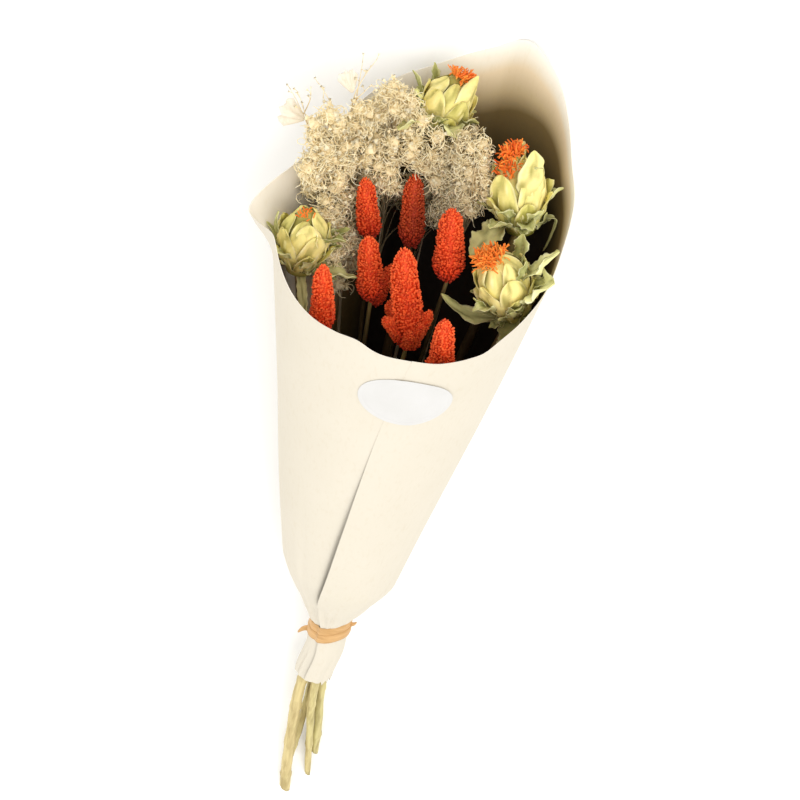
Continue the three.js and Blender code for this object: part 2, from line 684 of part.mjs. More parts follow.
// The haze: fine branching sprays. Spread is how far the branches reach from the spray's core.
const SPRAYS = [
  {
    name: 'haze_spray_1', base: [-43, 350, -32], tip: [-70, 408, -24], place: [OUTER_RING, 194],
    spread: 27, bow: [-1, 0],
  },
  {
    name: 'haze_spray_2', base: [-36, 346, -36], tip: [-44, 428, -24], place: [POCKET_RING, 210],
    spread: 28, bow: [-0.5, -0.5],
  },
  {
    name: 'haze_spray_3', base: [-18, 352, -42], tip: [-22, 424, -38], place: [OUTER_RING, 226],
    spread: 27, bow: [0, -1],
  },
  {
    name: 'haze_spray_4', base: [4, 346, -42], tip: [10, 398, -32], place: [OUTER_RING, 284],
    spread: 24, bow: [0, -1],
  },
  {
    name: 'haze_spray_5', base: [22, 350, -26], tip: [25, 402, -18], place: [OUTER_RING, 316],
    spread: 22, bow: [0.5, -1],
  },
];
const TAPER_FROM = 6;
const SPRAY_BRANCHES = 7;
const BRANCH_TWIGS = 3;

function prepareSpray(spray) {
  const base = vector(...spray.base);
  const tip = vector(...spray.tip);
  const control = stemRoute({ ...spray, place: neckPlace(...spray.place) });
  const route = smoothRun(control, 8);
  const core = [base, base.clone().lerp(tip, 0.35), base.clone().lerp(tip, 0.7), tip];
  route.forEach((p, i) => i > 0 && take(spray.name, route[i - 1], p, THIN_STEM));
  core.forEach((p, i) => i > 0 && take(spray.name, core[i - 1], p, 0.9));
  return { ...spray, base, tip, route: [...route.slice(0, -1), ...core] };
}

// A twig that leaves its branch at an angle and ends in a small bud.
function twig(root, direction, length, sag) {
  const reach = (share) => root.clone().addScaledVector(direction, length * share)
    .add(vector(0, 0, -sag * share * share));
  return { from: root, to: reach(1), points: [root, reach(0.8), reach(1)] };
}

function spraySolid(spray, seed) {
  const random = seededRandom(seed);
  const { axis, outward } = headAxes(spray.base, spray.tip);
  const last = spray.route.length - 1;
  const taper = spray.route.map((p, i) => {
    return along(THIN_STEM, 0.6, Math.max(0, (i - TAPER_FROM) / (last - TAPER_FROM)));
  });
  const pieces = [bar(spray.route, taper, 4)];
  const lean = (angle, bend) => axis.clone().multiplyScalar(Math.cos(radians(bend)))
    .addScaledVector(outward(angle), Math.sin(radians(bend)));
  for (let k = 0; k < SPRAY_BRANCHES; k += 1) {
    for (let attempt = 0; attempt < 12; attempt += 1) {
      const share = (k + 0.3) / SPRAY_BRANCHES;
      const root = spray.base.clone().lerp(spray.tip, share);
      const length = spray.spread * along(1, 0.62, share) * random(0.75, 1.05);
      const angle = 137.5 * k + random(-45, 45);
      const direction = lean(angle, random(32, 78));
      const end = root.clone().addScaledVector(direction, length);
      if (!isClear(spray.name, root.clone().lerp(end, 0.15), end, 0.7)) continue;
      const elbow = root.clone().lerp(end, 0.5).add(vector(0, 0, random(-0.8, 0.8)));
      const onBranch = (s) => {
        return s < 0.5 ? root.clone().lerp(elbow, s * 2) : elbow.clone().lerp(end, s * 2 - 1);
      };
      pieces.push(bar([root, elbow, end], [0.6, 0.5, 0], 3));
      take(spray.name, root, end, 0.8);
      for (let n = 0; n < BRANCH_TWIGS; n += 1) {
        for (let turn = 0; turn < 8; turn += 1) {
          const start = onBranch((n + 0.95) / BRANCH_TWIGS * 0.97);
          const way = lean(angle + random(-110, 110), random(5, 95));
          const { from, to, points } = twig(start, way, random(7, 12), random(-1, 2));
          if (!isClear(spray.name, from.clone().lerp(to, 0.2), to, 0.9)) continue;
          pieces.push(bar(points, [0.4, 0.8, 0], 3));
          take(spray.name, from, to, 0.7);
          break;
        }
      }
      break;
    }
  }
  return fuse(pieces);
}

const bouquet = new THREE.Group();
const lying = new THREE.Group();
lying.rotation.x = radians(LYING_TILT);
lying.position.set(-CENTRE.x, -CENTRE.y, TIP_HEIGHT);
bouquet.add(lying);

lying.add(meshOf('paper_wrap', paperWrap(), 'paper'));
lying.add(meshOf('label', label(), 'sticker'));
lying.add(meshOf('tie_band', tieBand(), 'band'));

const safflowers = SAFFLOWERS.map(prepareSafflower);
const plumes = PLUMES.map(preparePlume);
const sprays = SPRAYS.map(prepareSpray);
safflowers.forEach((flower, k) => {
  const tuftRoot = flower.tip.clone();
  take(`${flower.name}_tuft`, tuftRoot, tuftRoot.clone().lerp(flower.base, -0.25), 5 * flower.tuft.size);
  lying.add(meshOf(`safflower_florets_${k + 1}`, florets(flower, 11 + k), 'floret'));
});
for (const flower of safflowers) lying.add(meshOf(flower.name, safflower(flower), 'safflower'));
for (const plume of plumes) lying.add(meshOf(plume.name, plumeSolid(plume), 'plume'));
sprays.forEach((spray, k) => lying.add(meshOf(spray.name, spraySolid(spray, 31 + k), 'haze')));

export default bouquet;
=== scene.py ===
"""A bunch of dried flowers rolled in a paper cone, lying on its side, dressed round its solid model.

The bunch has axes of its own: right, along (from the stem ends to the mouth of the paper) and
front. Sizes on them are millimetres and angles are degrees. Lie.place lays the points down on the
surface and turns them into metres.
"""

import logging
import math
from collections.abc import Callable
from dataclasses import dataclass, field
from enum import Enum

import bpy
import numpy as np
from mathutils import Matrix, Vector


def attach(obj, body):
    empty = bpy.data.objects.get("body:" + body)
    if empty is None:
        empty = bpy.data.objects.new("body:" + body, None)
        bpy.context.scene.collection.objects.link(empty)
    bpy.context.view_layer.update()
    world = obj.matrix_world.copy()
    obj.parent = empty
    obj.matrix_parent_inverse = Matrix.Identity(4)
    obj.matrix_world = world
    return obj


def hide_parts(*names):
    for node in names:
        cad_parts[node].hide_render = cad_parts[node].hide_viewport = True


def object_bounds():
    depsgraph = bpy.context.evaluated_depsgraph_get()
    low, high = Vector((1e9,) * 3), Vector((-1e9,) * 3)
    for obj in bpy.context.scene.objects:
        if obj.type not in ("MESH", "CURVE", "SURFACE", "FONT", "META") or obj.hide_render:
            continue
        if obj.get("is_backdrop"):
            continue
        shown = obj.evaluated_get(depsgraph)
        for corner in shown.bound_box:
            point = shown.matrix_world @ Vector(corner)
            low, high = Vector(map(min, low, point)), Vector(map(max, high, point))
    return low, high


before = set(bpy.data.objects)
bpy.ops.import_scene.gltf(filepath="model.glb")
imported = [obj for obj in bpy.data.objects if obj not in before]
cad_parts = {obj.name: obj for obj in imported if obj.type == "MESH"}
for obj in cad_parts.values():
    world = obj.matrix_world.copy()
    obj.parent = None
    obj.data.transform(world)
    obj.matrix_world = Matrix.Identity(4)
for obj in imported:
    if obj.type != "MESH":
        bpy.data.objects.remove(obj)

Array = np.ndarray
Random = np.random.Generator
Material = bpy.types.Material
Socket = bpy.types.NodeSocket
Point = tuple[float, float, float]
Colour = tuple[float, float, float]
Curve = tuple[tuple[float, float], ...]
Stops = tuple[tuple[float, Colour], ...]
Table = tuple[tuple[float, ...], ...]
LOG = logging.getLogger("bouquet")
WHITE = (1.0, 1.0, 1.0)
GOLDEN_ANGLE = 137.508
FULL_TURN = 360.0
ALONG = np.array([0.0, 1.0, 0.0])
FRONT = np.array([0.0, 0.0, 1.0])


def smooth_step(x: Array) -> Array:
    """Ease from 0 at x = 0 to 1 at x = 1, level at both ends: 3 x squared less 2 x cubed."""
    t = np.clip(x, 0.0, 1.0)
    return t * t * (3.0 - 2.0 * t)


def bump(offset: Array, spread: float) -> Array:
    """A round hill of height 1: e to the power of minus (offset / spread) squared."""
    return np.exp(-((offset / spread) ** 2))


def mix(low: Array, high: Array, share: Array) -> Array:
    """The value that lies the given share of the way from low to high."""
    return low + (high - low) * share


def unit(vectors: Array) -> Array:
    """The same directions with length 1."""
    return vectors / np.maximum(np.linalg.norm(vectors, axis=-1, keepdims=True), 1e-9)


def dot(a: Array, b: Array) -> Array:
    """The scalar product of vectors, kept as a last axis of one entry."""
    return np.sum(a * b, axis=-1, keepdims=True)


def wave(angle: Array) -> Array:
    """The sine of an angle in degrees."""
    return np.sin(np.radians(angle))


def square_to(ways: Array, random: Random) -> Array:
    """A direction square to each of the given ones, turned about it by chance."""
    loose = random.normal(0, 1, ways.shape)
    return unit(loose - dot(loose, ways) * ways)


def on_cone(turn: Array, along: Array, reach: Array) -> Array:
    """Points by their angle clockwise from the front, distance along and distance from the axis."""
    bent = np.radians(turn)
    return np.stack(np.broadcast_arrays(reach * np.sin(bent), along, reach * np.cos(bent)), axis=-1)


def angle_round(points: Array) -> Array:
    """The angle of points round the bunch's axis, clockwise from the front."""
    return np.degrees(np.arctan2(points[..., 0], points[..., 2])) % FULL_TURN


def walk(roots: Array, steps: Array) -> Array:
    """The points of lines that start at their roots and take their steps one after another."""
    return np.concatenate([np.zeros((len(roots), 1, 3)), np.cumsum(steps, axis=1)], axis=1) + roots[:, None]


def band_faces(rings: Array, following: Array, sides: int) -> Array:
    """The four-cornered faces between rings, by the first point's number of each and of the next."""
    here = np.arange(sides)
    after = (here + 1) % sides
    near, far = rings[:, None], following[:, None]
    return np.stack([near + here, near + after, far + after, far + here], -1).reshape(-1, 4)


def new_object(name: str, data: bpy.types.ID) -> bpy.types.Object:
    """Put an object that shows the data in the scene."""
    made = bpy.data.objects.new(name, data)
    bpy.context.scene.collection.objects.link(made)
    return made


def smooth_look_up(stations: Curve, x: Array) -> Array:
    """Read a curve through a few stations, bent smoothly between them.

    Each stretch is a cubic Hermite curve, with the mean slope of its neighbours at each station.

    Args:
        stations: pairs of position and value, in rising order of position.
        x: the positions to read.

    Returns:
        The values at x, level beyond both ends.
    """
    at, value = np.array(stations, float).T
    slope = np.gradient(value, at)
    x = np.clip(x, at[0], at[-1])
    i = np.clip(np.searchsorted(at, x, side="right") - 1, 0, len(at) - 2)
    width = at[i + 1] - at[i]
    t = (x - at[i]) / width
    rise = value[i + 1] - value[i]
    bend = t * (1 - t) * ((1 - t) * (slope[i] * width - rise) - t * (slope[i + 1] * width - rise))
    return value[i] + rise * t + bend


def smooth_run(points: Array, stations: int) -> Array:
    """Lead a smooth line through a few points.

    The line is a centripetal Catmull-Rom curve: each stretch is a cubic whose end slopes follow
    the neighbouring points, weighted by the square root of their distances.

    Args:
        points: the points to pass through, as rows.
        stations: how many equal steps of the curve's parameter to take.

    Returns:
        The points of the line, stations + 1 rows.
    """
    ends = [2 * points[:1] - points[1:2], points, 2 * points[-1:] - points[-2:-1]]
    p = np.concatenate(ends)
    place = np.linspace(0, len(points) - 1, stations + 1)
    i = np.minimum(place.astype(int), len(points) - 2)
    t = (place - i)[:, None]
    p0, p1, p2, p3 = p[i], p[i + 1], p[i + 2], p[i + 3]
    pairs = ((p0, p1), (p1, p2), (p2, p3))
    before, here, after = [np.sqrt(np.linalg.norm(b - a, axis=1, keepdims=True)) for a, b in pairs]
    start = ((p1 - p0) / before - (p2 - p0) / (before + here) + (p2 - p1) / here) * here
    end = ((p2 - p1) / here - (p3 - p1) / (here + after) + (p3 - p2) / after) * here
    square, cube = t * t, t * t * t
    return (
        (2 * cube - 3 * square + 1) * p1
        + (cube - 2 * square + t) * start
        + (3 * square - 2 * cube) * p2
        + (cube - square) * end
    )


@dataclass(frozen=True)
class Lie:
    """How the bunch lies: its own axes tilted about the right axis, in radians, then shifted."""

    tilt: float = math.radians(9.1)
    tip_height: float = 8.5
    middle_right: float = -4.8
    middle_along: float = 212.2
    metre: float = 0.001

    def height(self, points: Array) -> Array:
        """The height of points above the surface, in millimetres."""
        return points[..., 1] * math.sin(self.tilt) + points[..., 2] * math.cos(self.tilt) + self.tip_height

    def place(self, points: Array) -> Array:
        """Turn points on the bunch's axes into points of the laid down part, in metres."""
        right, along, front = np.moveaxis(points, -1, 0)
        y = along * math.cos(self.tilt) - front * math.sin(self.tilt) - self.middle_along
        return np.stack([right - self.middle_right, y, self.height(points)], axis=-1) * self.metre

    def lift_clear(self, points: Array, lowest: float) -> Array:
        """Raise the points that lie under a height to it, straight to the front."""
        raised = points.copy()
        raised[..., 2] += np.maximum(0.0, lowest - self.height(points)) / math.cos(self.tilt)
        return raised


LIE = Lie()


@dataclass
class Gather:
    """Points and faces of one piece, gathered from several surfaces before its mesh is made."""

    points: list[Array] = field(default_factory=list)
    faces: list[Array] = field(default_factory=list)
    values: dict[str, list[Array]] = field(default_factory=dict)
    total: int = 0

    def keep(self, points: Array, faces: list[Array], values: dict[str, Array]) -> None:
        """Add points, the faces between them and the values on them.

        Args:
            points: the points, with the three coordinates last.
            faces: arrays of corner numbers, with the corners of a face last.
            values: for each name, one value for each point, or a shape that spreads to that.
        """
        self.faces += [face.reshape(-1, face.shape[-1]) + self.total for face in faces]
        self.points.append(points.reshape(-1, 3))
        for name, value in values.items():
            self.values.setdefault(name, []).append(np.broadcast_to(value, points.shape[:-1]).ravel())
        self.total += points.size // 3

    def add_lofts(self, rings: Array, starts: Array, ends: Array, **values: Array) -> None:
        """Add closed skins over rows of rings, each closed by a point at its start and its end.

        Args:
            rings: shape (copies, rings, points of a ring, 3), anticlockwise about the way along.
            starts: the point that closes each copy before its first ring.
            ends: the point that closes each copy after its last ring.
            **values: a value for each ring point, by name.
        """
        copies, stations, sides = rings.shape[:3]
        body = rings.reshape(copies, -1, 3)
        points = np.concatenate([body, starts[:, None], ends[:, None]], axis=1)
        spread = {}
        for name, value in values.items():
            full = np.broadcast_to(value, rings.shape[:3])
            first, last = full[:, 0].mean(1, keepdims=True), full[:, -1].mean(1, keepdims=True)
            spread[name] = np.concatenate([full.reshape(copies, -1), first, last], axis=1)
        ring = np.arange(stations - 1) * sides
        here = np.arange(sides)
        after = (here + 1) % sides
        start, end, top = stations * sides, stations * sides + 1, (stations - 1) * sides
        near = np.stack([np.full(sides, start), after, here], -1)
        far = np.stack([np.full(sides, end), top + here, top + after], -1)
        shift = (np.arange(copies) * (stations * sides + 2))[:, None, None]
        faces = [band_faces(ring, ring + sides, sides) + shift, near + shift, far + shift]
        self.keep(points, faces, spread)

    def add_sheet(self, outer: Array, inner: Array, **values: Array) -> None:
        """Add a thin closed sheet between an outer and an inner grid of points.

        Args:
            outer: the outer face, shape (columns, rows, 3), columns running clockwise.
            inner: the inner face, in the same order.
            **values: a value for each point of outer followed by inner, shape (2, columns, rows).
        """
        columns, rows = outer.shape[:2]
        number = np.arange(2 * columns * rows).reshape(2, columns, rows)
        o, i = number
        walls = [
            (o[:-1, :-1], o[1:, :-1], o[1:, 1:], o[:-1, 1:]),
            (i[:-1, :-1], i[:-1, 1:], i[1:, 1:], i[1:, :-1]),
            (o[:-1, 0], i[:-1, 0], i[1:, 0], o[1:, 0]),
            (o[:-1, -1], o[1:, -1], i[1:, -1], i[:-1, -1]),
            (o[0, :-1], o[0, 1:], i[0, 1:], i[0, :-1]),
            (o[-1, :-1], i[-1, :-1], i[-1, 1:], o[-1, 1:]),
        ]
        faces = [np.stack([corner.ravel() for corner in wall], -1) for wall in walls]
        self.keep(np.stack([outer, inner]), faces, values)

    def add_loop(self, rings: Array, **values: Array) -> None:
        """Add a closed skin over rings that follow one another round a loop.

        Args:
            rings: shape (rings, points of a ring, 3), anticlockwise about the way round.
            **values: a value for each ring point, by name.
        """
        count, sides = rings.shape[:2]
        ring = np.arange(count)
        self.keep(rings, [band_faces(ring * sides, (ring + 1) % count * sides, sides)], values)

    def piece(
        self, name: str, material: Material, slot: str, node: str, crease: float = 0.0
    ) -> None:
        """Make the mesh object and join it to the solid model.

        Args:
            name: the name of the piece.
            material: its finish.
            slot: not used.
            node: the solid that the piece stands for.
            crease: the angle from which an edge is drawn sharp, or 0 for none.
        """
        loose = np.concatenate(self.points)
        # The depth inside the cone, which steers the painted shade.
        self.values["deep"] = [PAPER.depth(loose)]
        points = LIE.place(loose)
        sizes = np.concatenate([np.full(len(f), f.shape[1]) for f in self.faces])
        corners = np.concatenate([f.ravel() for f in self.faces])
        mesh = bpy.data.meshes.new(name)
        mesh.vertices.add(len(points))
        mesh.vertices.foreach_set("co", points.astype(np.float32).ravel())
        mesh.loops.add(len(corners))
        mesh.loops.foreach_set("vertex_index", corners.astype(np.int32))
        mesh.polygons.add(len(sizes))
        mesh.polygons.foreach_set("loop_start", (np.cumsum(sizes) - sizes).astype(np.int32))
        mesh.polygons.foreach_set("use_smooth", np.ones(len(sizes), bool))
        for label, parts in self.values.items():
            attribute = mesh.attributes.new(label, "FLOAT", "POINT")
            attribute.data.foreach_set("value", np.concatenate(parts).astype(np.float32))
        mesh.update(calc_edges=True)
        if crease:
            mesh.set_sharp_from_angle(angle=math.radians(crease))
        mesh.materials.append(material)
        made = new_object(name, mesh)
        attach(made, "root")
        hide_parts(node)
        LOG.info("%s: %d points, %d faces", name, len(points), len(sizes))


def rings_round(paths: Array, hint: Array, radii: Array, sides: int) -> Array:
    """Carry a round profile along paths.

    Each ring lies square to its path: its points are the path's point plus the radius times the
    side vector's cosine share and the upward vector's sine share.

    Args:
        paths: shape (copies, stations, 3).
        hint: a direction that no path runs along, which settles where each ring starts.
        radii: the radius at each station, or at each ring point.
        sides: how many points a ring has.

    Returns:
        The rings, shape (copies, stations, sides, 3).
    """
    ways = unit(np.gradient(paths, axis=1))
    up = unit(hint - dot(hint, ways) * ways)
    side = np.cross(up, ways)
    angle = 2 * np.pi * np.arange(sides) / sides
    radii = np.broadcast_to(radii if radii.ndim == 3 else radii[..., None], (*paths.shape[:2], sides))
    spoke = np.cos(angle)[:, None] * side[:, :, None] + np.sin(angle)[:, None] * up[:, :, None]
    return paths[:, :, None] + radii[..., None] * spoke


@dataclass(frozen=True)
class HeadAxes:
    """Axes on a flower head, from its base to its tip."""

    base: Array
    tip: Array

    @property
    def length(self) -> float:
        """The distance from base to tip."""
        return float(np.linalg.norm(self.tip - self.base))

    @property
    def axis(self) -> Array:
        """The direction from base to tip."""
        return (self.tip - self.base) / self.length

    @property
    def front(self) -> Array:
        """The direction square to the axis that is nearest to the bunch's front."""
        return unit(FRONT - self.axis[2] * self.axis)

    def outward(self, degrees: Array) -> Array:
        """The direction away from the axis at an angle round it, from the front, clockwise."""
        turn = np.radians(np.asarray(degrees, float))[..., None]
        return np.cos(turn) * self.front + np.sin(turn) * np.cross(self.axis, self.front)

    def at(self, share: Array) -> Array:
        """The point of the axis at a share of its length."""
        return self.base + np.asarray(share, float)[..., None] * (self.tip - self.base)


class Recipe:
    """Adds the nodes of one material, one short call for each, and joins them to its surface."""

    def __init__(self, name: str) -> None:
        """Start a material with its own surface shader."""
        self.material = bpy.data.materials.new(name)
        self.material.use_nodes = True
        self.tree = self.material.node_tree
        self.surface = self.tree.nodes["Principled BSDF"]
        self.place = self.node("TexCoord").outputs["Object"]

    def node(self, kind: str, **inputs: object) -> bpy.types.Node:
        """Add a node of a kind and join values to the inputs of the given names."""
        made = self.tree.nodes.new("ShaderNode" + kind)
        for name, value in inputs.items():
            self.join(value, made.inputs[name])
        return made

    def join(self, value: object, socket: Socket) -> None:
        """Link another node's output to a socket, or set a plain value or colour on it."""
        if isinstance(value, Socket):
            self.tree.links.new(value, socket)
        else:
            socket.default_value = (*value, 1.0) if isinstance(value, tuple) else value

    def attribute(self, name: str) -> Socket:
        """Read a value that the mesh carries on its points."""
        node = self.node("Attribute")
        node.attribute_name = name
        return node.outputs["Fac"]

    def noise(
        self, scale: float, detail: float = 3.0, stretch: Colour = WHITE, roughness: float = 0.55
    ) -> Socket:
        """Add a cloud pattern on Object coordinates.

        Args:
            scale: how many clouds fit in a metre.
            detail: how many finer layers it has.
            stretch: how much closer the clouds stand along each axis.
            roughness: how strong the finer layers are.

        Returns:
            The pattern's value, about 0.5 on average.
        """
        placed = self.node("Mapping", Vector=self.place)
        placed.inputs["Scale"].default_value = stretch
        node = self.node("TexNoise", Scale=scale, Detail=detail, Roughness=roughness)
        self.join(placed.outputs["Vector"], node.inputs["Vector"])
        return node.outputs["Fac"]

    def math(self, kind: str, a: object, b: object) -> Socket:
        """Work one sum, such as MULTIPLY or ADD, on two values, kept between 0 and 1."""
        node = self.node("Math")
        node.operation = kind
        node.use_clamp = True
        self.join(a, node.inputs[0])
        self.join(b, node.inputs[1])
        return node.outputs[0]

    def ramp(self, value: object, stops: Stops) -> Socket:
        """Turn a value into a colour by a row of stops, each a position and a colour."""
        node = self.node("ValToRGB", Fac=value)
        stored = node.color_ramp.elements
        while len(stored) < len(stops):
            stored.new(1.0)
        for element, (position, colour) in zip(stored, stops):
            element.position = position
            element.color = (*colour, 1.0)
        return node.outputs["Color"]

    def fade(
        self, value: object, start: float, end: float, first: float = 0.0, last: float = 1.0
    ) -> Socket:
        """Turn a value into a share that runs from first at the start to last at the end."""
        return self.ramp(value, ((start, (first,) * 3), (end, (last,) * 3)))

    def blend(self, share: object, a: object, b: object, kind: str = "MIX") -> Socket:
        """Mix two colours: a where share is 0 and b, or their product, where it is 1."""
        node = self.node("Mix")
        node.data_type = "RGBA"
        node.blend_type = kind
        for value, socket in ((share, 0), (a, 6), (b, 7)):
            self.join(value, node.inputs[socket])
        return node.outputs[2]

    def tint(self, colour: object, factor: object, share: float = 1.0) -> Socket:
        """Multiply a colour by another, as a glaze of the given share."""
        return self.blend(share, colour, factor, "MULTIPLY")

    def painted_shade(self, colour: object, share: float = 1.0) -> Socket:
        """Darken a colour with the depth inside the cone as painted shade, by a share of the full painted
        shade.
        """
        # Painted shade: white at the rim, turning brown and then nearly black deep inside the cone.
        stops = ((0.0, WHITE), (0.45, (0.52, 0.44, 0.34)), (1.0, (0.10, 0.07, 0.05)))
        return self.tint(colour, self.ramp(self.attribute("deep"), stops), share)

    def relief(self, height: object, depth: float, strength: float) -> None:
        """Roughen the surface by a height pattern, depth being its size in metres."""
        node = self.node("Bump", Strength=strength, Distance=depth, Height=height)
        self.join(node.outputs["Normal"], self.surface.inputs["Normal"])

    def finish(self, colour: object, roughness: float, specular: float) -> Material:
        """Give the surface its colour, roughness and specular level, and hand over the material."""
        self.join(colour, self.surface.inputs["Base Color"])
        self.join(roughness, self.surface.inputs["Roughness"])
        self.join(specular, self.surface.inputs["Specular IOR Level"])
        return self.material


@dataclass(frozen=True)
class PaperFinish:
    """Matt cream paper: cloudy pulp and faint fibres, with painted shade that darkens it down inside the
    cone.
    """

    light: Colour = (0.665, 0.613, 0.512)
    deep: Colour = (0.65, 0.598, 0.494)
    fleck: Colour = (0.975, 0.965, 0.945)
    # The inner wall's painted shade: its colours by the value inside that the mesh carries, darker further
    # below the rim.
    inner: Stops = (
        (0.02, (0.95, 0.89, 0.79)), (0.10, (0.80, 0.73, 0.60)), (0.167, (0.71, 0.57, 0.38)),
        (0.30, (0.44, 0.335, 0.185)), (0.40, (0.14, 0.092, 0.031)), (0.67, (0.06, 0.04, 0.011)),
        (1.0, (0.012, 0.007, 0.003)),
    )

    def material(self) -> Material:
        """Build the paper."""
        recipe = Recipe("cream paper")
        cloudy = recipe.fade(recipe.noise(24.0, 4.0), 0.36, 0.66)
        fibres = recipe.noise(520.0, 3.0, (1.0, 0.35, 1.0))
        flecks = recipe.ramp(fibres, ((0.30, self.fleck), (0.46, WHITE)))
        sheet = recipe.tint(recipe.blend(cloudy, self.light, self.deep), flecks)
        inside = recipe.attribute("inside")
        # Painted shade on the inner wall, darker with depth below the rim.
        shade = recipe.tint(recipe.ramp(inside, self.inner), flecks)
        recipe.relief(fibres, 0.00012, 0.4)
        return recipe.finish(recipe.blend(recipe.fade(inside, 0.0, 0.015), sheet, shade), 0.75, 0.3)


@dataclass(frozen=True)
class StickerFinish:
    """Smooth white sticker paper."""

    white: Colour = (0.635, 0.625, 0.61)
    shade: Colour = (0.605, 0.595, 0.575)

    def material(self) -> Material:
        """Build the sticker."""
        recipe = Recipe("white sticker")
        cloudy = recipe.fade(recipe.noise(60.0), 0.35, 0.7)
        recipe.relief(recipe.noise(900.0, 2.0), 0.00004, 0.4)
        return recipe.finish(recipe.blend(cloudy, self.white, self.shade), 0.42, 0.5)


@dataclass(frozen=True)
class BandFinish:
    """Tan band with fine lengthwise fibres, with painted shade in its grooves and along its edges."""

    light: Colour = (0.65, 0.39, 0.165)
    deep: Colour = (0.50, 0.28, 0.10)

    def material(self) -> Material:
        """Build the band."""
        recipe = Recipe("tan band")
        strands = recipe.noise(260.0, 3.0, (0.35, 3.0, 0.35))
        worn = recipe.ramp(strands, ((0.32, self.deep), (0.60, self.light)))
        recipe.relief(strands, 0.0003, 0.6)
        # Painted shade where the groove value is high.
        return recipe.finish(recipe.blend(recipe.attribute("groove"), worn, self.deep), 0.5, 0.4)


@dataclass(frozen=True)
class StemFinish:
    """Dry stems: straw and green along their ribs, with painted shade in the grooves between them, pale pith
    where they are cut.
    """

    straw: Colour = (0.65, 0.53, 0.255)
    green: Colour = (0.56, 0.52, 0.22)
    streak: Colour = (0.55, 0.5, 0.42)
    rib: Colour = (0.45, 0.36, 0.16)
    pith: Colour = (0.80, 0.70, 0.45)

    def material(self) -> Material:
        """Build the stem."""
        recipe = Recipe("dry stem")
        streaks = recipe.noise(300.0, 4.0, (1.0, 0.08, 1.0))
        patches = recipe.math("ADD", recipe.noise(70.0, 3.0, (1.0, 0.3, 1.0)), recipe.attribute("tone"))
        body = recipe.blend(recipe.fade(patches, 0.5, 1.0), self.straw, self.green)
        streaked = recipe.tint(body, recipe.ramp(streaks, ((0.36, self.streak), (0.56, WHITE))), 0.8)
        # Painted shade in the grooves between the ribs.
        ribbed = recipe.blend(recipe.attribute("groove"), streaked, self.rib)
        # Painted shade that darkens the stem with its depth inside the cone.
        colour = recipe.painted_shade(recipe.blend(recipe.attribute("cut"), ribbed, self.pith))
        recipe.relief(streaks, 0.0004, 0.7)
        return recipe.finish(colour, 0.62, 0.35)


@dataclass(frozen=True)
class BladeFinish:
    """Dry leaf or bract: from green to pale by its tone, with painted shade at its root and in its crumple
    valleys, a painted highlight on its ridges, and paler at its rim.
    """

    name: str
    green: Colour
    pale: Colour
    shade: Colour
    tip: Colour
    rim: Colour
    painted_shade_share: float

    def material(self) -> Material:
        """Build the leaf, from the values along, across, fold and tone on its points."""
        recipe = Recipe(self.name)
        fold, along, across = (recipe.attribute(name) for name in ("fold", "along", "across"))
        mottle = recipe.math("MULTIPLY", recipe.noise(230.0, 4.0), 0.3)
        colour = recipe.blend(recipe.math("ADD", recipe.attribute("tone"), mottle), self.green, self.pale)
        # The layers: what steers each, where it starts and ends, its shares there and its colour.
        # The root layer and the first fold layer are painted shade, the second fold layer a painted
        # highlight on the ridges; the last layer is random blotches.
        layers = (
            (fold, 0.0, 0.36, 0.75, 0.0, self.shade), (fold, 0.55, 1.0, 0.0, 0.85, self.rim),
            (along, 0.0, 0.30, 1.0, 0.0, self.shade), (along, 0.80, 1.0, 0.0, 0.7, self.tip),
            (across, 0.82, 1.0, 0.0, 0.7, self.rim),
            (recipe.noise(110.0, 4.0), 0.55, 0.75, 0.0, 0.4, self.shade),
        )
        for value, start, end, first, last, over in layers:
            colour = recipe.blend(recipe.fade(value, start, end, first, last), colour, over)
        recipe.relief(recipe.noise(700.0, 4.0), 0.0004, 0.6)
        # Painted shade with the depth inside the cone, by its share.
        return recipe.finish(recipe.painted_shade(colour, self.painted_shade_share), 0.7, 0.3)


@dataclass(frozen=True)
class ThreadFinish:
    """Dry petals, hairs or grains that run from one colour at the foot to another at the tip."""

    name: str
    foot: Colour
    middle: Colour
    tip: Colour
    deep: Colour
    roughness: float
    painted_shade_share: float

    def material(self) -> Material:
        """Build the petals, from the values along and tone on their points."""
        recipe = Recipe(self.name)
        stops = ((0.0, self.foot), (0.5, self.middle), (1.0, self.tip))
        old = recipe.fade(recipe.attribute("tone"), 0.0, 0.6, 0.9, 0.0)
        worn = recipe.blend(old, recipe.ramp(recipe.attribute("along"), stops), self.deep)
        mottle = recipe.fade(recipe.noise(420.0), 0.48, 0.75, 0.0, 0.5)
        # Painted shade that darkens them with their depth inside the cone.
        colour = recipe.painted_shade(recipe.blend(mottle, worn, self.deep), self.painted_shade_share)
        recipe.relief(recipe.noise(1500.0), 0.0003, 0.6)
        return recipe.finish(colour, self.roughness, 0.4)


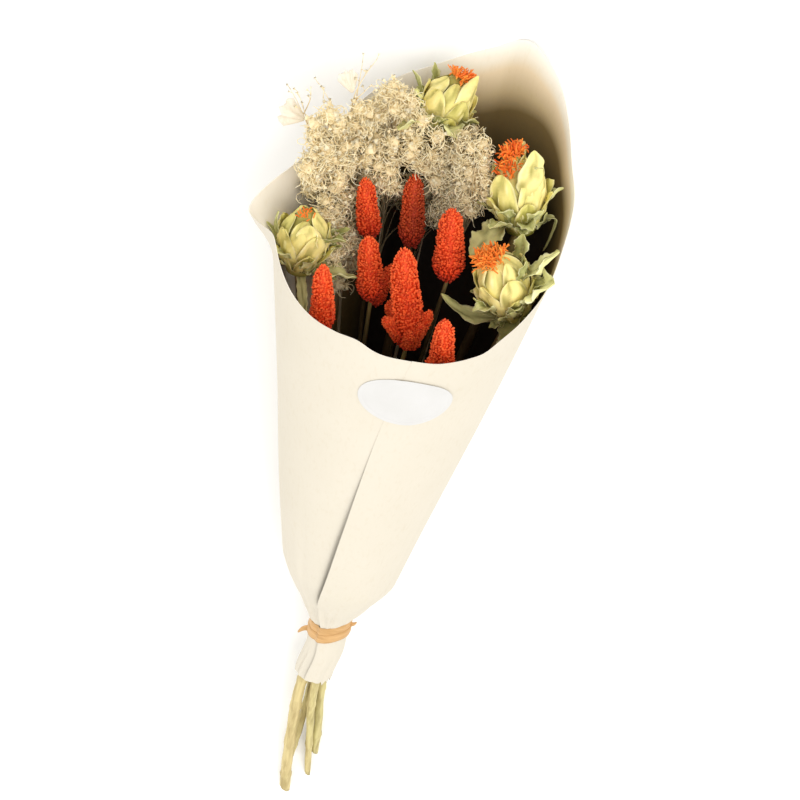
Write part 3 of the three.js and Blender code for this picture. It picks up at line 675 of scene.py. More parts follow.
@dataclass(frozen=True)
class PaperCone:
    """One sheet of paper rolled into a cone, gathered at the neck, with a collar below the tie."""

    slope: float = 0.19
    neck_radius: float = 10.25
    gather_from: float = 117.0
    gather_to: float = 156.0
    gather_ease: float = 1.5
    # How much higher the gather starts and ends at the right than in the middle.
    tie_slant: float = 3.0
    shoulder_slant: float = -4.0
    collar_end: float = 77.0
    neck_top: float = 160.0
    last_turn: float = 420.0
    thickness: float = 0.35
    layer_offset: float = 0.8
    columns: int = 260
    neck_rows: int = 56
    body_rows: int = 46
    rim: Curve = (
        (-24, 335), (0, 334), (24, 334), (36, 335.5), (43, 337.5), (49, 343), (60, 349), (72, 355.5),
        (96, 374), (108, 386.5), (118, 396), (129, 411), (144, 428), (156, 436.5), (168, 427.5),
        (192, 409), (216, 389), (240, 367), (252, 362), (264, 357), (276, 355), (288, 357),
        (300, 350), (312, 342.5), (324, 338), (336, 337), (347, 337.5), (354, 334.5), (372, 333),
        (396, 329), (420, 322),
    )
    seam: Curve = (
        (77, -18), (143, -17), (158, -12.5), (206, -4), (240, 0), (283, 4.5), (334, 11),
    )
    # How far below the rim the inner wall's painted shade sets in, by the angle.
    painted_shade: Curve = (
        (0, 30), (90, 14), (120, 12), (141, 20), (155, 31), (195, 34), (225, 130), (290, 220),
        (320, 60), (420, 30),
    )
    # Soft creases that run up from the neck: angle, depth, spread and how far up they reach.
    creases: Table = (
        (-62, 0.9, 7, 46), (-38, -0.7, 6, 60), (34, 0.7, 6, 40), (58, -0.9, 8, 66), (96, 0.9, 8, 50),
        (150, -0.8, 9, 60), (205, 0.9, 8, 50), (246, -0.9, 8, 70), (282, 0.8, 7, 40),
    )

    def open_radius(self, turn: Array, along: Array) -> Array:
        """The cone's radius: the neck's below the gather, slope times along above it.

        Between them it opens by 1 less the share still closed to the power of 1.5, quickly at first.
        """
        right = wave(turn)
        start = self.gather_from + self.tie_slant * right
        end = self.gather_to + self.shoulder_slant * right
        closed = np.clip((end - along) / (end - start), 0.0, 1.0)
        return mix(self.neck_radius, self.slope * along, 1.0 - closed**self.gather_ease)

    def swelling(self, turn: Array, along: Array) -> Array:
        """How far the left side stands out: a flap at the rim and a soft belly lower down."""
        angle = turn % FULL_TURN
        spread = np.where(angle > 270.0, 9.0, 23.0)
        flap = 12.0 * bump(angle - 270.0, spread) * smooth_step((along - 338.0) / 19.0)
        belly = 2.6 * bump(angle - 270.0, 50.0) * bump(along - 200.0, 60.0)
        return flap + belly

    def folds(self, turn: Array, along: Array) -> Array:
        """The gathered folds at the tie, the collar's pleats and the creases above them.

        The folds are a triangle wave in the angle with an uneven pitch, and fade up the cone. A
        crease is a pointed ridge: depth times e to the power of minus the offset over its spread.
        """
        uneven = turn + 5.0 * wave(turn * 3.0 + 40.0) + 3.0 * wave(turn * 7.0)
        saw = np.abs((uneven / 24.0) % 1.0 - 0.5) * 4.0 - 1.0
        size = 0.85 * bump(along - 129.0 - 3.0 * wave(turn), 9.0) + 0.22 * bump(along - 155.0, 20.0)
        collar = 0.55 * smooth_step((101.0 - along) / 14.0)
        pleats = (size + collar * wave(turn * 2.0 + 30.0) ** 2) * saw
        ridges = 0.0
        for angle, depth, spread, reach in self.creases:
            apart = (turn - angle + 180.0) % FULL_TURN - 180.0
            rise = smooth_step((along - 130.0) / 12.0) * bump(along - 142.0, reach)
            ridges = ridges + depth * np.exp(-np.abs(apart) / spread) * rise
        return pleats + ridges

    def drift(self, turn: Array, along: Array) -> Array:
        """Slow unevenness of the rolled sheet, which grows towards the rim."""
        share = smooth_step((along - 150.0) / 150.0)
        slow = 0.5 * wave(turn * 3.0 + along * 0.9) + 0.35 * wave(turn * 5.0 - along * 1.3 + 70.0)
        near_rim = smooth_step((along - self.edge(turn) + 30.0) / 30.0)
        ruffle = 0.55 * wave(turn * 9.0 + 20.0) * wave(turn * 2.0 + 50.0)
        return slow * share + ruffle * near_rim

    def edge(self, turn: Array) -> Array:
        """How far along the rim lies at an angle round the cone."""
        return smooth_look_up(self.rim, turn)

    def layer(self, turn: Array, along: Array) -> Array:
        """The roll's spiral: the free edge lies outside, and a turn later the sheet lies inside."""
        share = np.clip((turn - smooth_look_up(self.seam, along)) / FULL_TURN, -0.2, 1.0)
        return self.layer_offset * (1.0 - 2.0 * share)

    def open_share(self, along: Array) -> Array:
        """How open the free edge stands: fully just above the gather, not at all near the rim."""
        return smooth_step((along - 136.0) / 8.0) * (1.0 - smooth_step((along - 160.0) / 125.0))

    def lift(self, turn: Array, along: Array) -> Array:
        """How far the free edge stands off, most where it comes out of the gather.

        Beside and under it the next turn of the sheet sinks by as much, so that a gap opens.
        """
        apart = turn - smooth_look_up(self.seam, along)
        stood = 1.4 * bump(apart, 13.0) * (apart < 90.0)
        under = apart - FULL_TURN
        sunk = 1.4 * smooth_step((under + 4.5) / 4.5) * smooth_step((26.0 - under) / 20.0)
        return (stood - sunk) * self.open_share(along) - self.press(apart, along) * (apart < 90.0)

    def press(self, apart: Array, along: Array) -> Array:
        """How far the free edge is pressed onto the sheet below it, where it does not stand open."""
        closed = (1.0 - self.open_share(along)) * smooth_step((along - 150.0) / 40.0)
        return 1.21 * smooth_step((14.0 - apart) / 14.0) * closed

    def puff(self, turn: Array, along: Array) -> Array:
        """The soft bulge of the gathered paper over the band, uneven round the neck."""
        uneven = 0.75 + 0.25 * wave(turn * 2.0 + 60.0) + 0.12 * wave(turn * 5.0)
        start = self.gather_from + self.tie_slant * wave(turn)
        return 0.6 * uneven * bump(along - start - 2.5, 3.0) * smooth_step((along - start) / 2.0)

    def lean(self, along: Array) -> Array:
        """How far the collar below the band leans to the left."""
        return -3.2 * smooth_step((99.0 - along) / 24.0)

    def radius(self, turn: Array, along: Array) -> Array:
        """The distance of the sheet's middle from the axis."""
        return (
            self.open_radius(turn, along) + self.swelling(turn, along) + self.folds(turn, along)
            + self.drift(turn, along) + self.layer(turn, along) + self.lift(turn, along)
            + self.puff(turn, along)
        )

    def point(self, turn: Array, along: Array, face: float) -> Array:
        """A point of the sheet: along, and the radius turned clockwise from the front.

        Args:
            turn: the angle round the cone from the front, clockwise.
            along: the distance along the cone from its tip.
            face: 0.5 on the outside and -0.5 on the inside.

        Returns:
            The points, pressed flat where they would sink into the surface.
        """
        apart = turn - smooth_look_up(self.seam, along)
        thinned = 0.75 * smooth_step(1.0 - apart / 6.0) * (1.0 - self.open_share(along))
        reach = self.radius(turn, along) + ((face + 0.5) * (1.0 - thinned) - 0.5) * self.thickness
        points = on_cone(turn, along, reach)
        points[..., 0] += self.lean(along)
        return LIE.lift_clear(points, (0.5 - face) * self.thickness)

    def wall(self, points: Array) -> tuple[Array, Array]:
        """The inner wall's radius beside each point, and how far the point is below the rim."""
        turn, along = angle_round(points), points[..., 1]
        bare = self.open_radius(turn, along) + self.swelling(turn, along)
        return bare - self.layer_offset - self.thickness, self.edge(turn) - along

    def keep_inside(self, points: Array, margin: float) -> Array:
        """Draw points in that would pierce the paper, leaving those above the rim alone."""
        inner, below = self.wall(points)
        reach = np.hypot(points[..., 0], points[..., 2])
        limit = np.maximum(inner - margin, 2.0)
        drawn = limit - 1.2 * np.exp(-np.maximum(reach - limit, 0.0) / 4.0) + 1.2
        share = np.where(reach > limit, smooth_step((below + 8.0) / 6.0), 0.0)
        factor = 1.0 + (np.minimum(drawn, limit + 0.8) / np.maximum(reach, 1e-6) - 1.0) * share
        inside = points.copy()
        inside[..., 0] *= factor
        inside[..., 2] *= factor
        return LIE.lift_clear(inside, self.thickness + 0.4)

    def depth(self, points: Array) -> Array:
        """How deep inside the mouth points lie: 0 at the rim and outside, 1 well below it."""
        below = self.edge(angle_round(points)) - points[..., 1]
        return smooth_step((below - 2.0) / 62.0) * smooth_step((points[..., 1] - 125.0) / 20.0)

    def foot(self, turn: Array) -> Array:
        """The collar's lower edge: slightly uneven, with a few torn points at its right side."""
        torn = np.abs((turn / 15.0 + 0.3) % 1.0 - 0.5) * 2.0
        angle = turn % FULL_TURN
        right = smooth_step((angle - 48.0) / 12.0) * smooth_step((128.0 - angle) / 14.0)
        return self.collar_end + 0.5 * wave(turn * 4.0) - 3.4 * right * (1.0 - torn) + 1.2 * right

    def build(self, finish: PaperFinish) -> None:
        """Build the sheet as two faces on a grid of angle and distance along, and its edges."""
        share = np.linspace(0.0, 1.0, self.columns)[:, None]
        low = np.linspace(0.0, 1.0, self.neck_rows, endpoint=False)
        straight = mix(self.seam[-1][1], self.last_turn, share)
        top = self.edge(straight) + 0.35 * wave(straight * 11.0)
        neck = mix(self.foot(straight), self.neck_top, low)
        body = mix(self.neck_top, top, np.linspace(0.0, 1.0, self.body_rows))
        along = np.concatenate([neck, body], axis=1)
        turn = mix(smooth_look_up(self.seam, along), self.last_turn, share)
        # The inside value: 0 on the outer face; on the inner face it grows with the depth below the rim and
        # steers the painted shade.
        below = (self.edge(turn) - along) / (3.0 * smooth_look_up(self.painted_shade, turn))
        inside = np.stack([np.zeros_like(below), 0.02 + 0.98 * np.clip(below, 0.0, 1.0)])
        gather = Gather()
        gather.add_sheet(self.point(turn, along, 0.5), self.point(turn, along, -0.5), inside=inside)
        gather.piece("paper_wrap_sheet", finish.material(), "wrap_paper", "paper_wrap", 50.0)


PAPER = PaperCone()


@dataclass(frozen=True)
class Sticker:
    """The oval sticker over the sheet's free edge."""

    angle: float = 13.0
    along: float = 306.0
    half_width: float = 23.0
    half_height: float = 15.0
    thickness: float = 0.3
    gap: float = 0.15

    def under(self, turn: Array, along: Array) -> Array:
        """The radius of the paper's outside under the sticker, eased over the free edge."""
        apart = turn - smooth_look_up(PAPER.seam, along)
        drop = 2.0 * apart / FULL_TURN
        outer = PAPER.layer_offset * (1.0 - drop) - PAPER.press(apart, along)
        level = mix(-PAPER.layer_offset * (1.0 + drop), outer, smooth_step((apart + 4.0) / 4.0))
        return (
            PAPER.slope * along + PAPER.drift(turn, along) + level
            + PAPER.thickness / 2 + self.gap
        )

    def build(self, finish: StickerFinish) -> None:
        """Build the sticker from rings of a growing oval, bent round the cone, two faces of them."""
        shares = np.array([0.02, 0.2, 0.4, 0.6, 0.78, 0.88, 0.9, 0.92, 0.97, 1.0])
        # The upper face has a fine groove pressed in it just inside its rim.
        pressed = np.where(shares == 0.9, -0.12, 0.0)
        around = np.linspace(0.0, 2 * np.pi, 72, endpoint=False)
        share = np.concatenate([shares, shares[::-1]])[:, None]
        lift = np.concatenate([np.zeros_like(shares), self.thickness + pressed[::-1]])[:, None]
        along = self.along + self.half_height * share * np.sin(around)
        bend = self.half_width * share * np.cos(around) / (PAPER.slope * self.along)
        turn = self.angle + np.degrees(bend)
        curl = 0.35 * smooth_step((share - 0.9) / 0.1) * bump(around - 1.2, 0.7)
        rings = on_cone(turn, along, self.under(turn, along) + lift + curl)[None, :, ::-1]
        middles = rings[:, [0, -1]].mean(axis=2)
        gather = Gather()
        gather.add_lofts(rings, middles[:, 0], middles[:, 1])
        gather.piece("label_sticker", finish.material(), "sticker_paper", "label", 60.0)


@dataclass(frozen=True)
class TieBand:
    """The tan band: two turns round the gathered neck, with a tail at each side."""

    around: int = 180
    profile_points: int = 18
    slant: float = 3.0
    # The turns: middle along the neck, half width and thickness.
    turns: tuple[Point, ...] = ((115.2, 2.6, 0.9), (110.3, 2.8, 1.2))
    # The tails: angle, along, lean, length and half width.
    tails: Table = (
        (271.0, 105.0, -4.0, 4.6, 2.0), (75.0, 117.0, 2.5, 3.0, 1.5),
    )

    def neck(self, turn: Array) -> Array:
        """The radius of the gathered paper's outside, eased over the sheet's free edge."""
        seam = PAPER.seam[0][1]
        apart = (turn - seam) % FULL_TURN
        level = PAPER.layer_offset * (1.0 - 2.0 * apart / FULL_TURN)
        eased = level + 2.0 * PAPER.layer_offset * smooth_step((apart - 345.0) / 15.0)
        return PAPER.neck_radius + eased + PAPER.thickness / 2 + 0.08

    def add_turn(self, gather: Gather, middle: float, half: float, thick: float) -> None:
        """Add one turn: a flat rounded profile carried round the neck on a slightly slanted ring."""
        turn = np.linspace(0.0, FULL_TURN, self.around, endpoint=False)[:, None]
        spin = np.linspace(0.0, 2 * np.pi, self.profile_points, endpoint=False)[None, :]
        squared = np.sign(np.cos(spin)) * np.abs(np.cos(spin)) ** 0.7
        round_edge = np.sign(np.sin(spin)) * np.abs(np.sin(spin)) ** 0.6
        along = middle + self.slant * wave(turn) + 0.25 * wave(turn * 4.0) + half * squared
        strands = 0.10 * np.cos(spin * 9.0 + 0.4 * wave(turn * 5.0))
        fold = 0.12 * wave(turn * 6.0 + 40.0)
        reach = self.neck(turn) + thick / 2 + thick / 2 * round_edge + (strands + fold) * (round_edge > 0)
        # The groove value paints shade along the band's edges and between its strands.
        groove = np.clip(np.abs(squared) ** 6 + 0.25 * (strands < -0.03), 0.0, 1.0)
        gather.add_loop(on_cone(turn, along, reach), groove=groove)

    def add_tail(
        self, gather: Gather, angle: float, along: float, lean: float, length: float, half: float
    ) -> None:
        """Add a flat tail that leaves the band and narrows to its end."""
        share = np.linspace(0.0, 1.0, 12)
        path = on_cone(angle, along + lean * share**2, self.neck(angle) + 0.6 + length * share)
        ways = unit(np.gradient(path, axis=0))
        side = unit(ALONG - dot(ALONG, ways) * ways)
        flat = np.cross(ways, side)
        spin = np.linspace(0.0, 2 * np.pi, 12, endpoint=False)[:, None]
        width = half * (1.0 - 0.75 * share**1.6)[:, None, None]
        rings = path[:, None] + width * np.cos(spin) * side[:, None] + 0.5 * np.sin(spin) * flat[:, None]
        end = path[-1] + 0.2 * on_cone(angle, 0.0, 1.0)
        # A little painted shade all over the tail.
        gather.add_lofts(rings[None], path[:1], end[None], groove=0.15)

    def build(self, finish: BandFinish) -> None:
        """Build both turns and both tails as one piece."""
        gather = Gather()
        for values in self.turns:
            self.add_turn(gather, *values)
        for values in self.tails:
            self.add_tail(gather, *values)
        gather.piece("tie_band_turns", finish.material(), "tan_rubber", "tie_band")


class Ring(Enum):
    """The rings of places for stems in the tied neck, by radius."""

    CENTRE = 0.0
    THICK = 4.4
    POCKET = 5.9
    OUTER = 7.7


@dataclass(frozen=True)
class Route:
    """A stem's way: from its cut end through its place in the tied neck to the base of its head."""

    ring: Ring
    angle: float
    base: Point
    below: tuple[Point, ...] = ()
    bow: tuple[float, float] = (0.0, 0.0)
    bow_at: float = 0.45
    neck_from: float = 94.0
    neck_middle: float = 102.0
    neck_to: float = 119.0

    def axes(self, tip: Point) -> HeadAxes:
        """The axes of the head that the stem carries."""
        return HeadAxes(np.array(self.base, float), np.array(tip, float))

    def line(self, tip: Point, push: float, stations: int) -> Array:
        """The stem's middle line, as points, with a short stretch up into the head."""
        head = self.axes(tip)
        bent = math.radians(self.angle)
        place = self.ring.value * np.array([math.cos(bent), 0.0, math.sin(bent)])
        cut = place + self.neck_from * ALONG + np.array([PAPER.lean(self.neck_from), 0.0, 0.0])
        start = np.array(self.below, float) if self.below else cut[None]
        neck = np.stack([place + self.neck_middle * ALONG, place + self.neck_to * ALONG])
        middle = mix(neck[1], head.base, self.bow_at) + np.array([self.bow[0], 0.0, self.bow[1]])
        run = smooth_run(np.concatenate([start, neck, middle[None], head.base[None]]), stations)
        return np.concatenate([run, head.at(push)[None]])


@dataclass(frozen=True)
class Stem:
    """A dry stem with lengthwise ribs and a few knots."""

    line: Array
    radii: Array
    ribs: int = 7
    sides: int = 21
    knots: tuple[float, ...] = ()
    slant: float = 0.6
    tone: float = 0.0

    def add_to(self, gather: Gather) -> None:
        """Add the stem: its radius times 1 plus a small cosine of the ribs, wider at the knots."""
        around = 2 * np.pi * np.arange(self.sides) / self.sides
        along = self.line[:, 1:2]
        knots = sum(0.22 * bump(along - knot, 1.7) for knot in self.knots)
        ribbed = np.cos(self.ribs * (around + along * 0.012))
        radii = self.radii[:, None] * (1.0 + 0.06 * ribbed + (0.04 * np.sin(along * 0.35) + knots))
        rings = rings_round(self.line[None], FRONT, radii[None], self.sides)
        way = unit(self.line[1] - self.line[0])
        cut = rings[:, 0] + (self.slant * self.radii[0] * (1.0 + np.cos(around)))[:, None] * way
        lip = mix(cut.mean(axis=1, keepdims=True), cut, 0.86) - 0.02 * way
        rings = LIE.lift_clear(np.concatenate([lip[:, None], cut[:, None], rings[:, 2:]], axis=1), 0.05)
        is_cut = np.zeros(rings.shape[:3])
        is_cut[:, 0] = 1.0
        # The groove value paints shade in the hollows between the ribs.
        groove = np.clip(-0.5 * np.roll(ribbed, 1, axis=0) - 0.1, 0.0, 1.0)
        groove[0] = 0.0
        start = rings[:, 0].mean(axis=1)
        gather.add_lofts(rings, start, self.line[-1:], cut=is_cut, groove=groove, tone=self.tone)


def ridges(across: Array, along: Array, phase: Array) -> Array:
    """The crumpled relief of a dry bract, from 0 in its valleys to 1 on its sharp ridges.

    Two families of ridges cross: each is 1 less the size of a sine that runs askew over the blade.
    """
    first = 1.0 - np.abs(np.sin(2.2 * across + 3.5 * along + phase))
    second = 1.0 - np.abs(np.sin(3.7 * across - 5.0 * along + 2.0 * phase))
    return 0.6 * first + 0.4 * second


@dataclass(frozen=True)
class Blades:
    """A set of thin leaves or bracts on one head, with one entry for each in every array.

    A blade's middle line starts at a lean from the head's axis and bends evenly by its turn. Its
    cross-section is a thin lens, cupped towards the head, waved along both edges and twisted.
    """

    axes: HeadAxes
    roots: Array
    angles: Array
    lengths: Array
    widths: Array
    leans: Array
    turns: Array
    tones: Array | None = None
    cup: float = 0.35
    ruffle: float = 0.22
    crumple: float = 0.16
    teeth: float = 0.12
    twist: float = 16.0
    thickness: float = 0.45
    stations: int = 26
    sides: int = 16

    def add_to(self, gather: Gather, random: Random) -> None:
        """Add every blade of the set.

        Args:
            gather: what the blades are added to.
            random: the source of the small differences between them.
        """
        count = len(self.angles)
        share = np.linspace(0.0, 0.985, self.stations)
        middle_share = (share[1:] + share[:-1]) / 2
        bend = np.radians(self.leans[:, None] + self.turns[:, None] * middle_share)
        out = self.axes.outward(self.angles)[:, None]
        axis = self.axes.axis
        steps = np.cos(bend)[..., None] * axis + np.sin(bend)[..., None] * out
        steps = steps * (np.diff(share) * self.lengths[:, None])[..., None]
        path = walk(self.roots, steps)
        lean = np.radians(self.leans[:, None] + self.turns[:, None] * share)[..., None]
        normal = np.cos(lean) * out - np.sin(lean) * axis
        side = np.cross(out, axis[None, None]) + 0 * normal
        turned = np.radians(random.normal(0.0, self.twist, (count, 1)) * share)[..., None]
        side, normal = (
            np.cos(turned) * side + np.sin(turned) * normal,
            np.cos(turned) * normal - np.sin(turned) * side,
        )
        outline = (0.30 + 0.70 * np.sin(np.pi * (0.14 + 0.78 * share))) * np.sqrt(1.0 - share**5)
        saw = 1.0 + self.teeth * (np.abs((share * 6.5) % 1.0 * 2.0 - 1.0) * 2.0 - 1.0)
        half = self.widths[:, None] / 2 * outline * saw
        spin = 2 * np.pi * np.arange(self.sides) / self.sides
        x, lens = np.cos(spin), np.sin(spin)
        phase = random.uniform(0.0, 2 * np.pi, (count, 1, 1))
        beat = random.uniform(1.6, 2.8, (count, 1, 1)) * 2 * np.pi
        ruffled = np.sin(beat * share[:, None] + phase + 1.9 * np.sign(x)) * np.abs(x) ** 1.6
        rib = 0.35 * np.exp(-np.abs(x) * 9.0)
        height = half[..., None] * (-self.cup * x**2 + self.ruffle * ruffled) + rib
        # The fold value also steers painted shade in the valleys and a painted highlight on the ridges.
        fold = ridges(x, share[:, None], phase)
        crumple = self.crumple * half[..., None] * 3.0 * (fold - 0.4) * smooth_step(share * 4.0)[:, None]
        offset = height + crumple + self.thickness / 2 * lens
        rings = (
            path[:, :, None] + side[:, :, None] * (half[..., None] * x)[..., None]
            + normal[:, :, None] * offset[..., None]
        )
        ends = path[:, -1] + steps[:, -1] * 0.5
        rings = PAPER.keep_inside(rings, 0.9)
        chance = random.uniform(0.0, 0.75, count)
        tone = (chance if self.tones is None else self.tones)[:, None, None]
        values = {"along": share[None, :, None], "across": np.abs(x)[None, None], "tone": tone, "fold": fold}
        gather.add_lofts(rings, self.roots, PAPER.keep_inside(ends, 0.9), **values)


@dataclass(frozen=True)
class Bracts:
    """The row of leafy bracts round a bulb."""

    start: float
    length: float
    width: float
    lean: float
    turn: float = 34.0
    count: int = 6


def curled_lines(
    roots: Array, ways: Array, lengths: Array, curl: Array, random: Random, stations: int
) -> tuple[Array, Array]:
    """Bend lines evenly, each in a plane of its own.

    A line's direction turns from its first way towards a square direction by the curl's angle.

    Args:
        roots: where the lines start.
        ways: their first directions.
        lengths: their lengths.
        curl: how far each turns on its way, in degrees.
        random: the source of each line's plane.
        stations: how many points each line has.

    Returns:
        The lines' points, and the direction square to each line's plane.
    """
    across = square_to(ways, random)
    share = np.linspace(0.0, 1.0, stations)
    turn = np.radians(curl[:, None] * (share[1:] + share[:-1]) / 2)
    steps = np.cos(turn)[..., None] * ways[:, None] + np.sin(turn)[..., None] * across[:, None]
    return walk(roots, steps * (lengths / (stations - 1))[:, None, None]), np.cross(ways, across)


@dataclass(frozen=True)
class Tuft:
    """The thread florets of a bulb: a cluster in its tip, the rest spilt down one side."""

    threads: int
    length: float
    spread: float
    # Where the threads spill to: the angle round the head, how wide and down to which share of it.
    towards: float = 0.0
    fan: float = 26.0
    down_to: float = 0.7
    redness: float = 0.2
    # The share of the bulb at which the cluster sits.
    at: float = 1.0

    def add_to(
        self, gather: Gather, axes: HeadAxes, belly: Callable[[Array], Array], random: Random
    ) -> None:
        """Add the threads, each curled in a plane of its own and thicker near its end.

        Args:
            gather: what the threads are added to.
            axes: the head's axes.
            belly: the bulb's radius by the share of its length.
            random: the source of the differences between the threads.
        """
        count = self.threads
        rank = (np.arange(count) + 0.5) / count
        at_tip = np.arange(count) % 2 == 0
        whirl = GOLDEN_ANGLE * np.arange(count)
        angle = np.where(at_tip, whirl, self.towards + random.normal(0, self.fan, count))
        at = np.where(at_tip, self.at - 0.04, mix(self.at, self.down_to, random.uniform(0, 1, count) ** 1.3))
        closing = 1.0 - 0.42 * smooth_step((at - 0.72) / 0.3)
        reach = np.where(at_tip, self.spread * np.sqrt(rank), belly(at) * closing + 1.4)
        out = axes.outward(angle)
        roots = axes.at(at) + reach[:, None] * out
        lean = np.where(at_tip, 0.8 * rank, 0.5) + random.normal(0, 0.3, count)
        ways = unit(np.cos(lean)[:, None] * axes.axis + np.sin(lean)[:, None] * out)
        lengths = self.length * random.uniform(0.6, 1.1, count)
        path, square = curled_lines(roots, ways, lengths, random.normal(0, 80, count), random, 6)
        share = np.linspace(0.0, 1.0, 6)
        radii = 0.36 * (1.0 - 0.3 * share) * (1.0 + 0.8 * bump(share - 0.88, 0.10)) * np.ones((count, 1))
        rings = rings_round(path, square[:, None], radii, 4)
        ends = path[:, -1] + (path[:, -1] - path[:, -2]) * 0.3
        tone = random.uniform(0.25, 1.0, (count, 1, 1))
        shift = self.redness + random.normal(0, 0.16, (count, 1, 1))
        value = np.clip(share[None, :, None] * 0.45 + shift, 0, 1)
        gather.add_lofts(rings, roots - 0.5 * ways, ends, along=value, tone=tone)


@dataclass(frozen=True)
class Safflower:
    """One safflower: stem, bulb of broad bracts, leafy bracts, stem leaves and a floret tuft."""

    number: int
    tip: Point
    radius: float
    route: Route
    stem_radii: Point
    bracts: Bracts
    tuft: Tuft
    # The leaves: angle round the head, start along it, length, width, lean, turn and paleness.
    leaves: Table
    # The big smooth bracts that stand off the bulb, in the same order.
    hoods: Table = ()
    # The rows of bracts on the bulb: how many, start, reach, width, flare and first angle.
    rows: Table = (
        (5, -0.02, 1.0, 1.20, 0.2, 0.0), (5, -0.03, 0.80, 1.05, 1.3, 36.0),
        (6, -0.04, 0.55, 0.90, 2.4, 15.0),
    )
    knots: tuple[float, ...] = ()
    stem_tone: float = 0.0

    @property
    def axes(self) -> HeadAxes:
        """The head's axes."""
        return self.route.axes(self.tip)

    def stem(self) -> Stem:
        """The stem, which narrows or widens from its cut end to its head."""
        line = self.route.line(self.tip, 0.2, 76)
        end, middle, top = self.stem_radii
        low = mix(end, middle, (line[:, 1] + 19.0) / 79.0)
        radii = mix(low, (middle + top) / 2, smooth_step((line[:, 1] - 45.0) / 30.0))
        return Stem(line, radii, knots=self.knots, tone=self.stem_tone)

    def belly(self, share: Array) -> Array:
        """The bulb's radius: a sine arch, wide below and drawn in to the tip."""
        return self.radius * np.sin(np.pi * (0.13 + 0.72 * np.clip(share, 0.0, 1.0))) ** 0.8

    def add_core(self, gather: Gather) -> None:
        """Add the closed body that the bracts lie on."""
        axes = self.axes
        share = np.linspace(0.01, 0.95, 14)
        spokes = axes.outward(-np.linspace(0.0, FULL_TURN, 24, endpoint=False))
        closing = 1.0 - 0.35 * smooth_step((share - 0.7) / 0.25)
        ring = axes.at(share)[:, None] + (0.90 * self.belly(share) * closing)[:, None, None] * spokes
        # The core is marked like a bract's root and valley, so that it shows in painted shade between the
        # bracts.
        marks = {"along": 0.1, "across": 0.5, "tone": 0.4, "fold": 0.3}
        gather.add_lofts(ring[None], axes.base[None], axes.tip[None], **marks)

    def add_row(
        self, gather: Gather, row: int, values: tuple[float, ...], random: Random
    ) -> None:
        """Add one row of broad bracts that follow the bulb's side and stand off at their tips.

        A bract's point lies at the bulb's radius plus its lift, at the bract's angle plus its half
        width over that radius. The width is that of a pointed leaf, widest below its middle.
        """
        axes = self.axes
        count, first, reach, broad, flare, turned = values
        count = int(count)
        angle = FULL_TURN * np.arange(count) / count + turned + random.normal(0, 7.0, count)
        start = first + random.normal(0, 0.012, count)
        reach = reach * random.uniform(0.93, 1.04, count)
        share = np.linspace(0.0, 0.985, 20)
        spin = 2 * np.pi * np.arange(18) / 18
        x, lens = np.cos(spin), np.sin(spin)
        at = start[:, None] + reach[:, None] * share
        closing = 1.0 - 0.42 * smooth_step((at - 0.72) / 0.3) * (row == 0)
        radius = self.belly(at) * closing
        outline = (0.45 + 0.55 * np.sin(np.pi * (0.18 + 0.62 * share))) * np.sqrt(1.0 - share**4)
        wide = 2 * np.pi * self.radius / count * broad * random.uniform(0.9, 1.12, (count, 1))
        half = wide * outline / 2
        phase = random.uniform(0, 2 * np.pi, (count, 1, 1))
        stand = flare * random.uniform(0.5, 1.4, (count, 1))
        lift = 0.25 + 0.55 * row + 0.3 * share + stand * share**4
        long = share[:, None]
        veins = 0.09 * np.cos(17.0 * x) * (1 - long) + 0.20 * np.exp(-np.abs(x) * 7.0)
        # The fold value also steers painted shade in the valleys and a painted highlight on the ridges.
        fold = ridges(x, long, phase)
        crumple = 2.4 * (fold - 0.4)
        curl = (0.5 * stand[..., None] + random.uniform(-1.3, 0.7, (count, 1, 1))) * x**2 * long
        out = radius[..., None] + lift[..., None] + curl + veins
        out = out + crumple * smooth_step(long * 3.0) + 0.22 * lens
        spread = np.degrees(half[..., None] * x / np.maximum(radius, 4.5)[..., None])
        rings = axes.at(at)[:, :, None] + out[..., None] * axes.outward(angle[:, None, None] - spread)
        spokes = axes.outward(angle)
        starts = axes.at(start) + (radius[:, 0] * 0.8)[:, None] * spokes
        ends = axes.at(start + reach) + out[:, -1].mean(axis=1)[:, None] * spokes
        tone = random.uniform(0.25, 1.0, (count, 1, 1)) - 0.12 * row
        marks = {"along": long[None], "across": np.abs(x)[None, None], "tone": tone, "fold": fold}
        gather.add_lofts(rings, starts, ends, **marks)

    def named_blades(self, values: Table, inset: float, **shape: float) -> Blades:
        """The leaves or hoods that the photograph shows one by one."""
        angle, start, length, width, lean, turn, pale = np.array(values, float).T
        axes = self.axes
        foot = np.where(start > 0.05, self.radius * inset, 1.5)
        roots = axes.at(start) + foot[:, None] * axes.outward(angle)
        return Blades(axes, roots, angle, length, width, lean, turn, pale, **shape)

    def bract_blades(self) -> Blades:
        """The bracts round the bulb, every other one rooted higher and leaning out more."""
        bracts, axes = self.bracts, self.axes
        place = np.arange(bracts.count)
        odd, even = place % 2, np.ones(bracts.count)
        angle = bracts.start + FULL_TURN * place / bracts.count
        roots = axes.at(0.06 + 0.12 * odd) + self.radius * 0.75 * axes.outward(angle)
        length, width = bracts.length * even, bracts.width * 1.15 * even
        lean, turn = bracts.lean + 8.0 * odd, bracts.turn * even
        return Blades(axes, roots, angle, length, width, lean, turn, ruffle=0.3)

